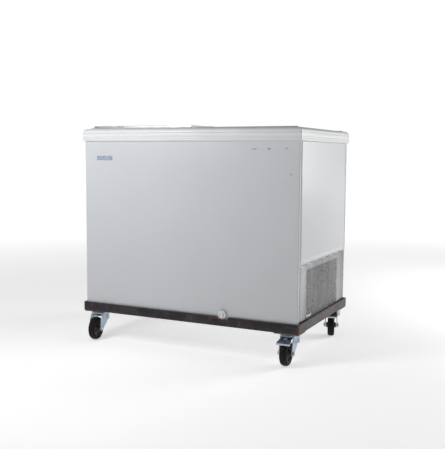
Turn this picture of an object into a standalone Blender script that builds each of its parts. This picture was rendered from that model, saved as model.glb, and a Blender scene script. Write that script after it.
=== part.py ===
"""Ice cream chest freezer with two sliding glass lids, on a welded steel trolley with four swivel casters.

Metres. +X is the cabinet's right, +Y its back, +Z up. The origin is on the floor, under the cabinet's middle.
"""

from math import atan2, cos, hypot, pi, radians, sin

import bmesh
import bpy
from mathutils import Matrix, Vector

GAP = 0.0003            # clearance between pieces that touch

# Cabinet
WIDTH = 1.010
DEPTH = 0.626
SKIN = 0.0015           # sheet thickness of the outer panels and the liner
WALL = 0.062            # outer face to tank face
HALF_X = WIDTH / 2
HALF_Y = DEPTH / 2
WRAP = 0.013            # how far the front and back panels fold round the corners
CORNER_R = 0.004

# Heights
LEG_BOTTOM = 0.128      # underside of the trolley's angles
ANGLE = 0.040           # leg of the angle section
ANGLE_T = 0.004
BASE_Z = LEG_BOTTOM + ANGLE_T + GAP
FOAM_Z = BASE_Z + SKIN + GAP
WALL_TOP = 0.8995
RIM_BOTTOM = 0.8874
RIM_TOP = 0.940
FENCE_TOP = 0.944
UPPER_LEDGE = 0.9385
LOWER_LEDGE = 0.924
TANK_FLOOR = 0.198
STEP_FLOOR = 0.4625
BAY_TOP = 0.400         # ceiling of the compressor bay
GRILLE_TOP = 0.395

# Across
RIM_OUT = 0.007         # the rim's overhang past the panels
RIM_IN = 0.0195         # how far the rim reaches inward before the lid track starts
FENCE_T = 0.004         # the lid track's fence
LEDGE_STEP = 0.036      # from the panel's face to the step between the two lids' ledges
TRACK_IN = WALL
STEP_X = 0.210          # tank face of the step
BAY_X = 0.262           # inner wall of the compressor bay
TANK_X = HALF_X - WALL
TANK_Y = HALF_Y - WALL
FOAM_X = TANK_X + SKIN + GAP
FOAM_Y = TANK_Y + SKIN + GAP
SKIN_X = HALF_X - SKIN - GAP
SKIN_Y = HALF_Y - SKIN - GAP
COIL_LOW, COIL_HIGH = 0.555, 0.845
COIL_ROOM = 0.0105      # depth of the space for the coil in the foam

# Lids
LID_END = 0.4735        # |x| of each lid's outer end
LID_LENGTH = 0.490
LID_FRAME = 0.024       # width of the frame round the glass
GLASS_T = 0.005
UPPER_T = 0.0135
LOWER_T = 0.0100

# Trolley
TROLLEY_X = HALF_X + 0.008
TROLLEY_Y = HALF_Y + 0.008
DRAIN_X = 0.1805
DRAIN_Z = 0.178
DIAL_R = 0.017

# Casters
CASTER_X = 0.459
CASTER_Y = 0.277
PLATE_X, PLATE_Y = 0.108, 0.088
TRAIL = 0.041
WHEEL_R = 0.050
TYRE_HALF = 0.015
HUB_HALF = 0.0225
FORK_HALF = 0.028
CHEEK_T = 0.003
CROWN_TOP = 0.1182
CROWN_BOTTOM = 0.1147
HINGE_Y, HINGE_Z = -0.0352, 0.1125      # the brake pedal's hinge line, in the fork's own frame
# One side of the fork's round cup seen from above, from its front end to the back: (x, y)
CUP_SIDE = [(0.0270, -0.0215), (0.0340, -0.0140), (0.0385, -0.0030), (0.0398, 0.0080), (0.0378, 0.0170),
            (0.0310, 0.0272), (0.0190, 0.0368), (0.0065, 0.0408)]
CUP_BOTTOM = 0.088
# corner name: (x sign, y sign, swivel from pointing at the front, has a brake)
CASTERS = {
    "front_left": (-1, -1, 8, False),
    "front_right": (1, -1, 3, True),
    "rear_right": (1, 1, 16, True),
    "rear_left": (-1, 1, 183, False),
}

# Fan and compressor
FAN_X, FAN_Z = 0.433, 0.279
MOTOR_R = 0.046
FAN_R = 0.064
POT_X, POT_Y, POT_R = 0.362, 0.020, 0.074

# name: (colour, roughness, metallic)
FINISHES = {
    "white_paint": ((0.80, 0.82, 0.85), 0.35, 0.0),
    "white_plastic": ((0.88, 0.88, 0.88), 0.40, 0.0),
    "grey_plastic": ((0.45, 0.47, 0.49), 0.45, 0.0),
    "foam": ((0.85, 0.75, 0.50), 0.90, 0.0),
    "liner": ((0.86, 0.87, 0.88), 0.35, 0.1),
    "galvanised": ((0.62, 0.64, 0.66), 0.35, 0.9),
    "zinc": ((0.68, 0.74, 0.78), 0.30, 0.9),
    "aluminium": ((0.75, 0.76, 0.77), 0.30, 0.9),
    "copper": ((0.72, 0.38, 0.20), 0.30, 0.9),
    "black_paint": ((0.03, 0.03, 0.03), 0.40, 0.0),
    "black_plastic": ((0.04, 0.04, 0.04), 0.50, 0.0),
    "cream_plastic": ((0.80, 0.72, 0.52), 0.50, 0.0),
    "rubber": ((0.03, 0.028, 0.026), 0.75, 0.0),
    "mill_scale": ((0.07, 0.06, 0.065), 0.60, 0.5),
    "glass": ((0.75, 0.85, 0.85), 0.05, 0.0),
    "badge": ((0.80, 0.82, 0.86), 0.30, 0.0),
}


# ---------------------------------------------------------------- scene and materials

def clear_scene():
    for obj in list(bpy.data.objects):
        bpy.data.objects.remove(obj, do_unlink=True)
    for collection in list(bpy.data.collections):
        bpy.data.collections.remove(collection)


def new_collection(name):
    collection = bpy.data.collections.new(name)
    bpy.context.scene.collection.children.link(collection)
    return collection


clear_scene()
PARTS = new_collection("ice_cream_chest_freezer")
CUTTERS = new_collection("cutters")
CUTTERS.hide_render = True


def make_material(name, finish):
    colour, roughness, metallic = FINISHES[finish]
    material = bpy.data.materials.new(name)
    material.use_nodes = True
    shader = material.node_tree.nodes["Principled BSDF"]
    shader.inputs["Base Color"].default_value = (*colour, 1.0)
    shader.inputs["Roughness"].default_value = roughness
    shader.inputs["Metallic"].default_value = metallic
    material.diffuse_color = (*colour, 1.0)
    return material


def add_part(name, mesh, finish, smooth=False):
    obj = bpy.data.objects.new(name, mesh)
    PARTS.objects.link(obj)
    mesh.materials.clear()
    mesh.materials.append(make_material(name, finish))
    if smooth:
        mesh.shade_smooth()
        mesh.set_sharp_from_angle(angle=radians(35))
    return obj


def add_cutter(name, mesh):
    obj = bpy.data.objects.new(name, mesh)
    CUTTERS.objects.link(obj)
    obj.hide_render = True
    obj.display_type = "WIRE"
    return obj


def mesh_from(bm, name):
    bmesh.ops.recalc_face_normals(bm, faces=bm.faces)
    mesh = bpy.data.meshes.new(name)
    bm.to_mesh(mesh)
    bm.free()
    return mesh


# ---------------------------------------------------------------- shapes

def box_mesh(name, low, high):
    bm = bmesh.new()
    size = Vector(high) - Vector(low)
    middle = (Vector(high) + Vector(low)) / 2
    bmesh.ops.create_cube(bm, size=1.0, matrix=Matrix.Translation(middle) @ Matrix.Diagonal((*size, 1.0)))
    return mesh_from(bm, name)


def block_mesh(name, low, high, chamfer=0.0015):
    """A box whose four upright edges are chamfered, to sit inside the panels' rounded corners."""
    (x0, y0, z0), (x1, y1, z1) = low, high
    c = chamfer
    outline = [(x0 + c, y0), (x1 - c, y0), (x1, y0 + c), (x1, y1 - c), (x1 - c, y1), (x0 + c, y1),
               (x0, y1 - c), (x0, y0 + c)]
    return prism_mesh(name, outline, z0, z1, along_z)


def rod_mesh(name, start, end, radius, sides=24):
    """A closed cylinder from start to end."""
    start, end = Vector(start), Vector(end)
    turn = (end - start).to_track_quat("Z", "Y").to_matrix().to_4x4()
    place = Matrix.Translation((start + end) / 2) @ turn
    bm = bmesh.new()
    bmesh.ops.create_cone(bm, cap_ends=True, segments=sides, radius1=radius, radius2=radius,
                          depth=(end - start).length, matrix=place)
    return mesh_from(bm, name)


def prism_mesh(name, outline, start, end, to_world):
    """Extrudes a flat outline of (a, b) points from start to end; to_world(a, b, along) places each point."""
    bm = bmesh.new()
    face = bm.faces.new([bm.verts.new(to_world(a, b, start)) for a, b in outline])
    shift = Vector(to_world(*outline[0], end)) - Vector(to_world(*outline[0], start))
    moved = bmesh.ops.extrude_face_region(bm, geom=[face])["geom"]
    # The first face stays where it was and becomes one end.
    bmesh.ops.translate(bm, vec=shift, verts=[v for v in moved if isinstance(v, bmesh.types.BMVert)])
    return mesh_from(bm, name)


def along_x(a, b, x):
    return (x, a, b)


def along_y(a, b, y):
    return (a, y, b)


def along_z(a, b, z):
    return (a, b, z)


def turned_mesh(name, profile, centre, axis, sides=24):
    """Turns a closed profile of (radius, height) points about axis through centre."""
    turn = Vector(axis).to_track_quat("Z", "Y").to_matrix().to_4x4()
    place = Matrix.Translation(centre) @ turn
    bm = bmesh.new()
    rings = []
    for index in range(sides):
        angle = 2 * pi * index / sides
        ring = []
        for radius, height in profile:
            ring.append(bm.verts.new(place @ Vector((radius * cos(angle), radius * sin(angle), height))))
        rings.append(ring)
    count = len(profile)
    for index in range(sides):
        here, there = rings[index], rings[(index + 1) % sides]
        for step in range(count):
            nxt = (step + 1) % count
            bm.faces.new((here[step], there[step], there[nxt], here[nxt]))
    bmesh.ops.remove_doubles(bm, verts=bm.verts, dist=1e-6)
    return mesh_from(bm, name)


def arc(cx, cy, radius, start, end, steps):
    """Points on an arc, angles in degrees."""
    points = []
    for index in range(steps + 1):
        angle = radians(start + (end - start) * index / steps)
        points.append((cx + radius * cos(angle), cy + radius * sin(angle)))
    return points


def boolean(obj, other, operation, keep=False):
    modifier = obj.modifiers.new(other.name, "BOOLEAN")
    modifier.operation = operation
    modifier.object = other
    modifier.solver = "EXACT"
    if keep:
        return
    depsgraph = bpy.context.evaluated_depsgraph_get()
    mesh = bpy.data.meshes.new_from_object(obj.evaluated_get(depsgraph), depsgraph=depsgraph)
    obj.modifiers.clear()
    materials = list(obj.data.materials)
    obj.data = mesh
    mesh.materials.clear()
    for material in materials:
        mesh.materials.append(material)
    bpy.data.objects.remove(other, do_unlink=True)


def join(obj, mesh):
    """Adds another closed shape to a part as one body."""
    boolean(obj, add_cutter(obj.name + "_add", mesh), "UNION")


def cut(obj, mesh):
    boolean(obj, add_cutter(obj.name + "_cut", mesh), "DIFFERENCE")


def wall_sheet(name, path, low, high, thickness, finish):
    """A sheet standing on a path of (x, y) points; its thickness goes to the path's left."""
    bm = bmesh.new()
    foot = [bm.verts.new((x, y, low)) for x, y in path]
    head = [bm.verts.new((x, y, high)) for x, y in path]
    for index in range(len(path) - 1):
        bm.faces.new((foot[index], foot[index + 1], head[index + 1], head[index]))
    mesh = bpy.data.meshes.new(name)
    bm.to_mesh(mesh)
    bm.free()
    obj = add_part(name, mesh, finish)
    solid = obj.modifiers.new("thickness", "SOLIDIFY")
    solid.thickness = thickness
    solid.offset = -1
    solid.use_even_offset = True
    return obj


def wire(name, points, radius, finish, cyclic=False):
    """A round bar along the points."""
    curve = bpy.data.curves.new(name, "CURVE")
    curve.dimensions = "3D"
    curve.bevel_depth = radius
    curve.bevel_resolution = 2
    curve.use_fill_caps = True
    spline = curve.splines.new("POLY")
    spline.points.add(len(points) - 1)
    for target, point in zip(spline.points, points):
        target.co = (*point, 1.0)
    spline.use_cyclic_u = cyclic
    obj = bpy.data.objects.new(name, curve)
    PARTS.objects.link(obj)
    curve.materials.append(make_material(name, finish))
    return obj


def smooth_path(points, radius, steps=4):
    """Rounds each inner corner of a route with an arc-like curve."""
    route = [Vector(points[0])]
    for before, corner, after in zip(points, points[1:], points[2:]):
        corner = Vector(corner)
        back = (Vector(before) - corner).normalized()
        ahead = (Vector(after) - corner).normalized()
        first = corner + back * radius
        last = corner + ahead * radius
        for index in range(steps + 1):
            t = index / steps
            route.append(first * (1 - t) ** 2 + corner * 2 * t * (1 - t) + last * t ** 2)
    route.append(Vector(points[-1]))
    return route


# ---------------------------------------------------------------- cabinet

def wrapped_path(side):
    """The front (-1) or back (+1) panel's outline in plan: a face and two short returns round the corners."""
    near = HALF_Y - CORNER_R
    wide = HALF_X - CORNER_R
    path = [(-HALF_X, -HALF_Y + WRAP)]
    path += arc(-wide, -near, CORNER_R, 180, 270, 3)
    path += arc(wide, -near, CORNER_R, 270, 360, 3)
    path += [(HALF_X, -HALF_Y + WRAP)]
    if side > 0:
        path = [(-x, -y) for x, y in path]
    return path


def make_outer_panels():
    front = wall_sheet("front_panel", wrapped_path(-1), BASE_Z, WALL_TOP, SKIN, "white_paint")
    hole = rod_mesh("drain_hole", (DRAIN_X, -HALF_Y - 0.01, DRAIN_Z), (DRAIN_X, -HALF_Y + 0.01, DRAIN_Z),
                    0.012, 16)
    boolean(front, add_cutter("drain_hole", hole), "DIFFERENCE", keep=True)
    back = wall_sheet("back_panel", wrapped_path(1), BASE_Z, WALL_TOP, SKIN, "white_paint")
    bay = box_mesh("rear_opening", (BAY_X, HALF_Y - 0.05, 0.0), (1.0, 1.0, BAY_TOP - 0.003))
    boolean(back, add_cutter("rear_opening", bay), "DIFFERENCE", keep=True)
    side = HALF_Y - WRAP - 0.0015
    add_part("left_panel", box_mesh("left_panel", (-HALF_X, -side, BASE_Z), (-HALF_X + SKIN, side, WALL_TOP)),
             "white_paint")
    low = GRILLE_TOP + 0.0015
    add_part("right_panel", box_mesh("right_panel", (HALF_X - SKIN, -side, low), (HALF_X, side, WALL_TOP)),
             "white_paint")
    base = block_mesh("base_tray", (-SKIN_X, -SKIN_Y, BASE_Z), (SKIN_X, SKIN_Y, BASE_Z + SKIN))
    add_part("base_tray", base, "galvanised")


def make_side_grille():
    """The sheet over the compressor bay's side; its rear edge folds round the cabinet's back corner."""
    fold_r = 0.011
    face_x = HALF_X - 0.0006
    front_y = -HALF_Y + WRAP + 0.003
    back_y = HALF_Y - 0.001
    path = [(face_x, front_y)]
    path += arc(face_x - fold_r, back_y - fold_r, fold_r, 0, 90, 4)
    path += [(face_x - fold_r - 0.004, back_y)]
    wall_sheet("side_grille", path, BASE_Z + 0.002, GRILLE_TOP, 0.0012, "galvanised")


def make_rear_cover():
    low = (BAY_X + 0.001, HALF_Y - SKIN, BASE_Z + 0.002)
    high = (HALF_X - 0.018, HALF_Y, BAY_TOP - 0.0045)
    cover = add_part("rear_cover", box_mesh("rear_cover", low, high), "galvanised")
    for row in range(6):
        z = 0.180 + row * 0.016
        slot = box_mesh("slot", (0.300, HALF_Y - 0.02, z), (0.450, HALF_Y + 0.02, z + 0.006))
        cut(cover, slot)


def make_foam():
    top = WALL_TOP
    foams = {
        "foam_left": ((-SKIN_X, -SKIN_Y, FOAM_Z), (-FOAM_X, SKIN_Y, top)),
        "foam_right": ((FOAM_X, -SKIN_Y, BAY_TOP), (SKIN_X, SKIN_Y, top)),
        "foam_front": ((-FOAM_X + GAP, -SKIN_Y, FOAM_Z), (FOAM_X - GAP, -FOAM_Y, top)),
        "foam_back": ((-FOAM_X + GAP, FOAM_Y, FOAM_Z), (FOAM_X - GAP, SKIN_Y, top)),
    }
    coil_box = ((-FOAM_X - COIL_ROOM, -FOAM_Y - COIL_ROOM, COIL_LOW),
                (FOAM_X + COIL_ROOM, FOAM_Y + COIL_ROOM, COIL_HIGH))
    bay_box = ((BAY_X, -1.0, 0.0), (1.0, 1.0, BAY_TOP))
    drain_box = ((DRAIN_X - 0.011, -1.0, DRAIN_Z - 0.011), (DRAIN_X + 0.011, -0.185, TANK_FLOOR))
    for name, (low, high) in foams.items():
        block = add_part(name, block_mesh(name, low, high), "foam")
        cut(block, box_mesh("coil_space", *coil_box))
        if name in ("foam_front", "foam_back"):
            cut(block, box_mesh("bay_space", *bay_box))
        if name == "foam_front":
            cut(block, box_mesh("drain_space", *drain_box))
    floor_top = TANK_FLOOR - SKIN - GAP
    step_top = STEP_FLOOR - SKIN - GAP
    step_face = STEP_X + SKIN + GAP
    end = FOAM_X - GAP
    outline = [(-end, FOAM_Z), (BAY_X, FOAM_Z), (BAY_X, BAY_TOP), (end, BAY_TOP), (end, step_top),
               (step_face, step_top), (step_face, floor_top), (-end, floor_top)]
    half = FOAM_Y - GAP
    floor = add_part("foam_floor", prism_mesh("foam_floor", outline, -half, half, along_y), "foam")
    cut(floor, box_mesh("drain_space", *drain_box))


def make_liner():
    """The sheet steel tank with a raised step over the compressor bay, open at the top."""
    outline = [(-TANK_X, WALL_TOP), (-TANK_X, TANK_FLOOR), (STEP_X, TANK_FLOOR), (STEP_X, STEP_FLOOR),
               (TANK_X, STEP_FLOOR), (TANK_X, WALL_TOP)]
    mesh = prism_mesh("inner_liner", outline, -TANK_Y, TANK_Y, along_y)
    bm = bmesh.new()
    bm.from_mesh(mesh)
    lid = [f for f in bm.faces if all(abs(v.co.z - WALL_TOP) < 1e-6 for v in f.verts)]
    bmesh.ops.delete(bm, geom=lid, context="FACES")
    bm.to_mesh(mesh)
    bm.free()
    liner = add_part("inner_liner", mesh, "liner")
    solid = liner.modifiers.new("thickness", "SOLIDIFY")
    solid.thickness = SKIN
    solid.offset = 1
    solid.use_even_offset = True


def rim_profile():
    """The rim's section as (outward, z): a ribbed face, a groove, a rounded shoulder and a flat top."""
    rib = 0.0008
    points = [(0.0004, WALL_TOP + GAP), (0.0004, RIM_BOTTOM)]
    points += [(RIM_OUT - 0.001, RIM_BOTTOM), (RIM_OUT, RIM_BOTTOM + 0.001)]
    for z in (0.8960, 0.9045):
        points += [(RIM_OUT, z - 0.0006), (RIM_OUT - rib, z), (RIM_OUT, z + 0.0006)]
    points += [(RIM_OUT, 0.9190), (RIM_OUT - 0.0016, 0.9198), (RIM_OUT - 0.0016, 0.9208), (RIM_OUT, 0.9216)]
    shoulder = 0.0175
    points += arc(RIM_OUT - shoulder, RIM_TOP - shoulder, shoulder, 4, 90, 6)
    points += [(-RIM_IN, RIM_TOP), (-RIM_IN, WALL_TOP + GAP)]
    return points


def track_profile():
    """The lid track's section as (outward, z): a fence and two ledges, the inner one lower."""
    start = -RIM_IN - GAP
    return [(start, WALL_TOP + GAP), (start, FENCE_TOP), (start - FENCE_T, FENCE_TOP),
            (start - FENCE_T, UPPER_LEDGE), (-LEDGE_STEP, UPPER_LEDGE), (-LEDGE_STEP, LOWER_LEDGE),
            (-TRACK_IN, LOWER_LEDGE), (-TRACK_IN, WALL_TOP + GAP)]


def mitred_bar(name, section, half_len, face, turn, finish):
    """A bar whose ends are cut at 45 degrees, so that four of them close a ring. Section points are
    (outward, z) from the ring's face line; half_len is half the ring's size along the bar, face half its size
    across, and turn the bar's side in degrees from the front."""
    bm = bmesh.new()
    spin = Matrix.Rotation(radians(turn), 4, "Z")
    ends = []
    for sign in (-1, 1):
        ring = []
        for outward, z in section:
            place = Vector((sign * (half_len + outward - GAP / 2), -(face + outward), z))
            ring.append(bm.verts.new(spin @ place))
        ends.append(ring)
    count = len(section)
    for index in range(count):
        nxt = (index + 1) % count
        bm.faces.new((ends[0][index], ends[0][nxt], ends[1][nxt], ends[1][index]))
    bm.faces.new(ends[0])
    bm.faces.new(ends[1])
    return add_part(name, mesh_from(bm, name), finish)


def make_rim():
    section = rim_profile()
    sides = {"rim_front": (HALF_X, HALF_Y, 0),
             "rim_right": (HALF_Y, HALF_X, 90),
             "rim_back": (HALF_X, HALF_Y, 180),
             "rim_left": (HALF_Y, HALF_X, 270)}
    for name, (half_len, face, turn) in sides.items():
        bar = mitred_bar(name, section, half_len, face, turn, "white_plastic")
        if name in ("rim_left", "rim_right"):
            sign = -1 if name == "rim_left" else 1
            shelf_y = HALF_Y - TRACK_IN - GAP
            near, far = sorted((sign * (HALF_X - TRACK_IN), sign * (HALF_X - RIM_IN + 0.004)))
            shelf = box_mesh("shelf", (near, -shelf_y, WALL_TOP + GAP), (far, shelf_y, LOWER_LEDGE - 0.0005))
            join(bar, shelf)
    length = HALF_X - RIM_IN - GAP
    for name, sign in (("track_front", -1), ("track_back", 1)):
        outline = [(sign * (HALF_Y + outward), z) for outward, z in track_profile()]
        mesh = prism_mesh(name, outline, -length, length, along_x)
        add_part(name, mesh, "grey_plastic")


def make_badge():
    mesh = box_mesh("name_badge", (-0.4415, -HALF_Y - 0.0013, 0.804), (-0.3620, -HALF_Y - GAP, 0.822))
    add_part("name_badge", mesh, "badge")


# ---------------------------------------------------------------- refrigeration

def make_evaporator():
    """Six turns of tube round the outside of the liner."""
    turns = 6
    pitch = 0.045           # rise of each turn
    x, y = FOAM_X + COIL_ROOM / 2, FOAM_Y + COIL_ROOM / 2
    corner = 0.007
    loop = []
    for sx, sy, start in ((1, -1, 270), (1, 1, 0), (-1, 1, 90), (-1, -1, 180)):
        loop += arc(sx * (x - corner), sy * (y - corner), corner, start, start + 90, 2)
    points = []
    start_z = COIL_LOW + 0.008
    for turn in range(turns):
        for index, (px, py) in enumerate(loop):
            points.append((px, py, start_z + pitch * (turn + index / len(loop))))
    wire("evaporator_coil", points, 0.004, "copper")


def make_compressor():
    foot = BASE_Z + SKIN + GAP
    tray = [(POT_X - 0.085, foot), (POT_X - 0.065, foot), (POT_X - 0.060, foot + 0.012),
            (POT_X + 0.060, foot + 0.012), (POT_X + 0.065, foot), (POT_X + 0.085, foot),
            (POT_X + 0.085, foot + 0.0025),
            (POT_X + 0.067, foot + 0.0025), (POT_X + 0.062, foot + 0.0145), (POT_X - 0.062, foot + 0.0145),
            (POT_X - 0.067, foot + 0.0025), (POT_X - 0.085, foot + 0.0025)]
    mesh = prism_mesh("compressor_base", tray, POT_Y - 0.080, POT_Y + 0.080, along_y)
    add_part("compressor_base", mesh, "black_paint")
    base = foot + 0.0145 + GAP
    r = POT_R
    profile = [(0, 0), (r * 0.72, 0), (r * 0.92, 0.016), (r * 0.98, 0.060), (r * 0.98, 0.078),
               (r + 0.002, 0.080), (r + 0.002, 0.086), (r * 0.98, 0.088), (r * 0.93, 0.125),
               (r * 0.70, 0.150), (r * 0.35, 0.160), (0, 0.162)]
    pot = turned_mesh("compressor", profile, (POT_X, POT_Y, base), (0, 0, 1), 24)
    add_part("compressor", pot, "black_paint", smooth=True)
    cover = box_mesh("terminal_cover", (POT_X + r + 0.0024, POT_Y - 0.020, base + 0.030),
                     (POT_X + r + 0.030, POT_Y + 0.044, base + 0.098))
    obj = add_part("terminal_cover", cover, "cream_plastic")
    bevel = obj.modifiers.new("edges", "BEVEL")
    bevel.width = 0.004
    bevel.segments = 2


def make_condenser():
    low = Vector((0.285, 0.264, 0.150))
    high = Vector((0.485, 0.300, 0.372))
    block = add_part("condenser", box_mesh("condenser", low, high), "aluminium")
    fins = 16
    pitch = (high.x - low.x) / fins
    for index in range(fins):
        x = low.x + pitch * (index + 0.2)
        gap_low = (x, low.y - 0.01, low.z + 0.01)
        gap_high = (x + pitch * 0.6, high.y - 0.008, high.z - 0.01)
        cut(block, box_mesh("fin_gap", gap_low, gap_high))


def make_fan():
    foot = BASE_Z + SKIN + GAP
    motor_front, motor_back = 0.205, 0.2395
    profile = [(0, 0), (0.017, 0), (0.019, 0.004), (MOTOR_R - 0.006, 0.005), (MOTOR_R, 0.010),
               (MOTOR_R, 0.028), (MOTOR_R - 0.006, 0.0345), (0, 0.0345)]
    motor = turned_mesh("fan_motor", profile, (FAN_X, motor_front, FAN_Z), (0, 1, 0), 24)
    add_part("fan_motor", motor, "aluminium", smooth=True)
    top = FAN_Z - MOTOR_R - 0.0005
    strap = [(motor_front - 0.020, foot), (motor_front + 0.020, foot), (motor_front + 0.020, top),
             (motor_front + 0.017, top), (motor_front + 0.017, foot + 0.003),
             (motor_front - 0.020, foot + 0.003)]
    mesh = prism_mesh("fan_bracket", strap, FAN_X - 0.016, FAN_X + 0.016, along_x)
    add_part("fan_bracket", mesh, "galvanised")
    make_fan_blade(motor_back + GAP)
    shroud_low = (0.288, 0.2605, foot)
    shroud_high = (HALF_X - 0.004, 0.2620, BAY_TOP - 0.004)
    shroud = add_part("fan_shroud", box_mesh("fan_shroud", shroud_low, shroud_high), "galvanised")
    cut(shroud, rod_mesh("fan_hole", (FAN_X, 0.25, FAN_Z), (FAN_X, 0.27, FAN_Z), FAN_R + 0.003, 32))


def make_fan_blade(start):
    """Five pitched blades on a hub. The hub's axis runs along Y."""
    blades = 5
    hub = rod_mesh("fan_blade", (FAN_X, start, FAN_Z), (FAN_X, start + 0.019, FAN_Z), 0.018, 20)
    fan = add_part("fan_blade", hub, "aluminium")
    for index in range(blades):
        pitch = Matrix.Rotation(radians(24), 4, "X")
        slab = Matrix.Diagonal((FAN_R - 0.014, 0.0014, 0.034, 1.0))
        reach = Matrix.Translation(((FAN_R + 0.012) / 2, 0, 0))
        spin = Matrix.Rotation(2 * pi * index / blades, 4, "Y")
        bm = bmesh.new()
        bmesh.ops.create_cube(bm, size=1.0, matrix=slab)
        bm.transform(Matrix.Translation((FAN_X, start + 0.0095, FAN_Z)) @ spin @ reach @ pitch)
        join(fan, mesh_from(bm, "blade"))


def make_bay_tubes():
    base = BASE_Z + SKIN + GAP + 0.0145 + GAP
    top = base + 0.166
    drier = [(0, 0), (0.004, 0), (0.010, 0.012), (0.010, 0.078), (0.004, 0.090), (0, 0.090)]
    mesh = turned_mesh("filter_drier", drier, (0.292, 0.200, 0.215), (0, 0, 1), 16)
    add_part("filter_drier", mesh, "copper", smooth=True)
    discharge = [(POT_X - 0.020, POT_Y + 0.020, top), (POT_X - 0.020, POT_Y + 0.020, top + 0.030),
                 (0.310, 0.120, top + 0.040), (0.298, 0.236, top + 0.035), (0.298, 0.236, 0.300),
                 (0.298, 0.2565, 0.300)]
    wire("discharge_tube", smooth_path(discharge, 0.012, 3), 0.003, "copper")
    suction = [(POT_X + 0.020, POT_Y - 0.020, top), (POT_X + 0.020, POT_Y - 0.020, top + 0.035),
               (POT_X - 0.030, POT_Y - 0.120, top + 0.040), (POT_X - 0.030, POT_Y - 0.120, BAY_TOP - 0.0005)]
    wire("suction_tube", smooth_path(suction, 0.012, 3), 0.004, "copper")


def make_rear_fittings():
    knob = [(0, 0), (0.018, 0), (0.018, 0.004), (0.014, 0.006), (0.013, 0.016), (0, 0.016)]
    mesh = turned_mesh("thermostat_knob", knob, (0.410, HALF_Y + GAP, 0.345), (0, 1, 0), 24)
    obj = add_part("thermostat_knob", mesh, "black_plastic", smooth=True)
    join(obj, box_mesh("pointer", (0.4088, HALF_Y + 0.010, 0.346), (0.4112, HALF_Y + 0.0175, 0.3575)))
    gland = [(0.0045, 0), (0.013, 0), (0.013, 0.004), (0.010, 0.005), (0.009, 0.016), (0.0045, 0.016)]
    mesh = turned_mesh("cable_gland", gland, (0.282, HALF_Y + GAP, 0.205), (0, 1, 0), 16)
    add_part("cable_gland", mesh, "black_plastic", smooth=True)


def make_drain():
    floor = TANK_FLOOR - SKIN - GAP
    inlet_y = -0.200
    route = [(DRAIN_X, -HALF_Y - 0.0015, DRAIN_Z), (DRAIN_X, inlet_y, DRAIN_Z), (DRAIN_X, inlet_y, floor)]
    wire("drain_pipe", smooth_path(route, 0.010, 3), 0.008, "white_plastic")
    face = -HALF_Y - 0.0022
    profile = [(0, 0), (DIAL_R, 0), (DIAL_R, 0.010), (DIAL_R - 0.0025, 0.013), (DIAL_R - 0.005, 0.013),
               (DIAL_R - 0.006, 0.009), (0, 0.009)]
    mesh = turned_mesh("drain_dial", profile, (DRAIN_X, face, DRAIN_Z), (0, -1, 0), 32)
    dial = add_part("drain_dial", mesh, "white_plastic", smooth=True)
    grip = box_mesh("grip", (DRAIN_X - 0.0028, face - 0.0165, DRAIN_Z - 0.0130),
                    (DRAIN_X + 0.0028, face - 0.0080, DRAIN_Z + 0.0130))
    join(dial, grip)


# ---------------------------------------------------------------- lids

def make_lid(prefix, low_x, half_y, seat, thickness, handle_x):
    """A glass pane in a slim frame with a grip along one end. seat is the track height it runs on."""
    bottom = seat + GAP
    high_x = low_x + LID_LENGTH
    frame = box_mesh("frame", (low_x, -half_y, bottom), (high_x, half_y, bottom + thickness))
    obj = add_part(prefix + "_lid_frame", frame, "aluminium")
    inner = half_y - LID_FRAME
    hole = box_mesh("pane_hole", (low_x + LID_FRAME, -inner, bottom - 0.01),
                    (high_x - LID_FRAME, inner, bottom + 0.05))
    cut(obj, hole)
    pane_low = bottom + (thickness - GLASS_T) / 2
    pane = box_mesh("pane", (low_x + LID_FRAME + GAP, -inner + GAP, pane_low),
                    (high_x - LID_FRAME - GAP, inner - GAP, pane_low + GLASS_T))
    add_part(prefix + "_lid_glass", pane, "glass")
    base = bottom + thickness + GAP
    rise = 0.0022
    grip = [(handle_x - 0.009, base), (handle_x + 0.009, base), (handle_x + 0.006, base + rise),
            (handle_x - 0.006, base + rise)]
    mesh = prism_mesh(prefix + "_lid_handle", grip, -0.110, 0.110, along_y)
    add_part(prefix + "_lid_handle", mesh, "grey_plastic")


def make_lids():
    side_gap = 0.0008
    upper_half = HALF_Y - RIM_IN - GAP - FENCE_T - side_gap
    lower_half = HALF_Y - LEDGE_STEP - side_gap
    make_lid("upper", -LID_END, upper_half, UPPER_LEDGE, UPPER_T, LID_LENGTH - LID_END - 0.012)
    make_lid("lower", LID_END - LID_LENGTH, lower_half, LOWER_LEDGE, LOWER_T, LID_END - 0.012)


# ---------------------------------------------------------------- trolley

def make_trolley():
    section = [(0, LEG_BOTTOM), (0, LEG_BOTTOM + ANGLE), (-ANGLE_T, LEG_BOTTOM + ANGLE),
               (-ANGLE_T, LEG_BOTTOM + ANGLE_T), (-ANGLE, LEG_BOTTOM + ANGLE_T), (-ANGLE, LEG_BOTTOM)]
    sides = {"trolley_angle_front": (TROLLEY_X, TROLLEY_Y, 0),
             "trolley_angle_right": (TROLLEY_Y, TROLLEY_X, 90),
             "trolley_angle_back": (TROLLEY_X, TROLLEY_Y, 180),
             "trolley_angle_left": (TROLLEY_Y, TROLLEY_X, 270)}
    for name, (half_len, face, turn) in sides.items():
        bar = mitred_bar(name, section, half_len, face, turn, "mill_scale")
        if name == "trolley_angle_front":
            notch = [(DRAIN_X - 0.024, 0.2), (DRAIN_X - 0.020, 0.1585), (DRAIN_X, 0.1565),
                     (DRAIN_X + 0.022, 0.1580), (DRAIN_X + 0.027, 0.2)]
            cut(bar, prism_mesh("notch", notch, -TROLLEY_Y - 0.01, -TROLLEY_Y + 0.01, along_y))


# ---------------------------------------------------------------- casters

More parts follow.
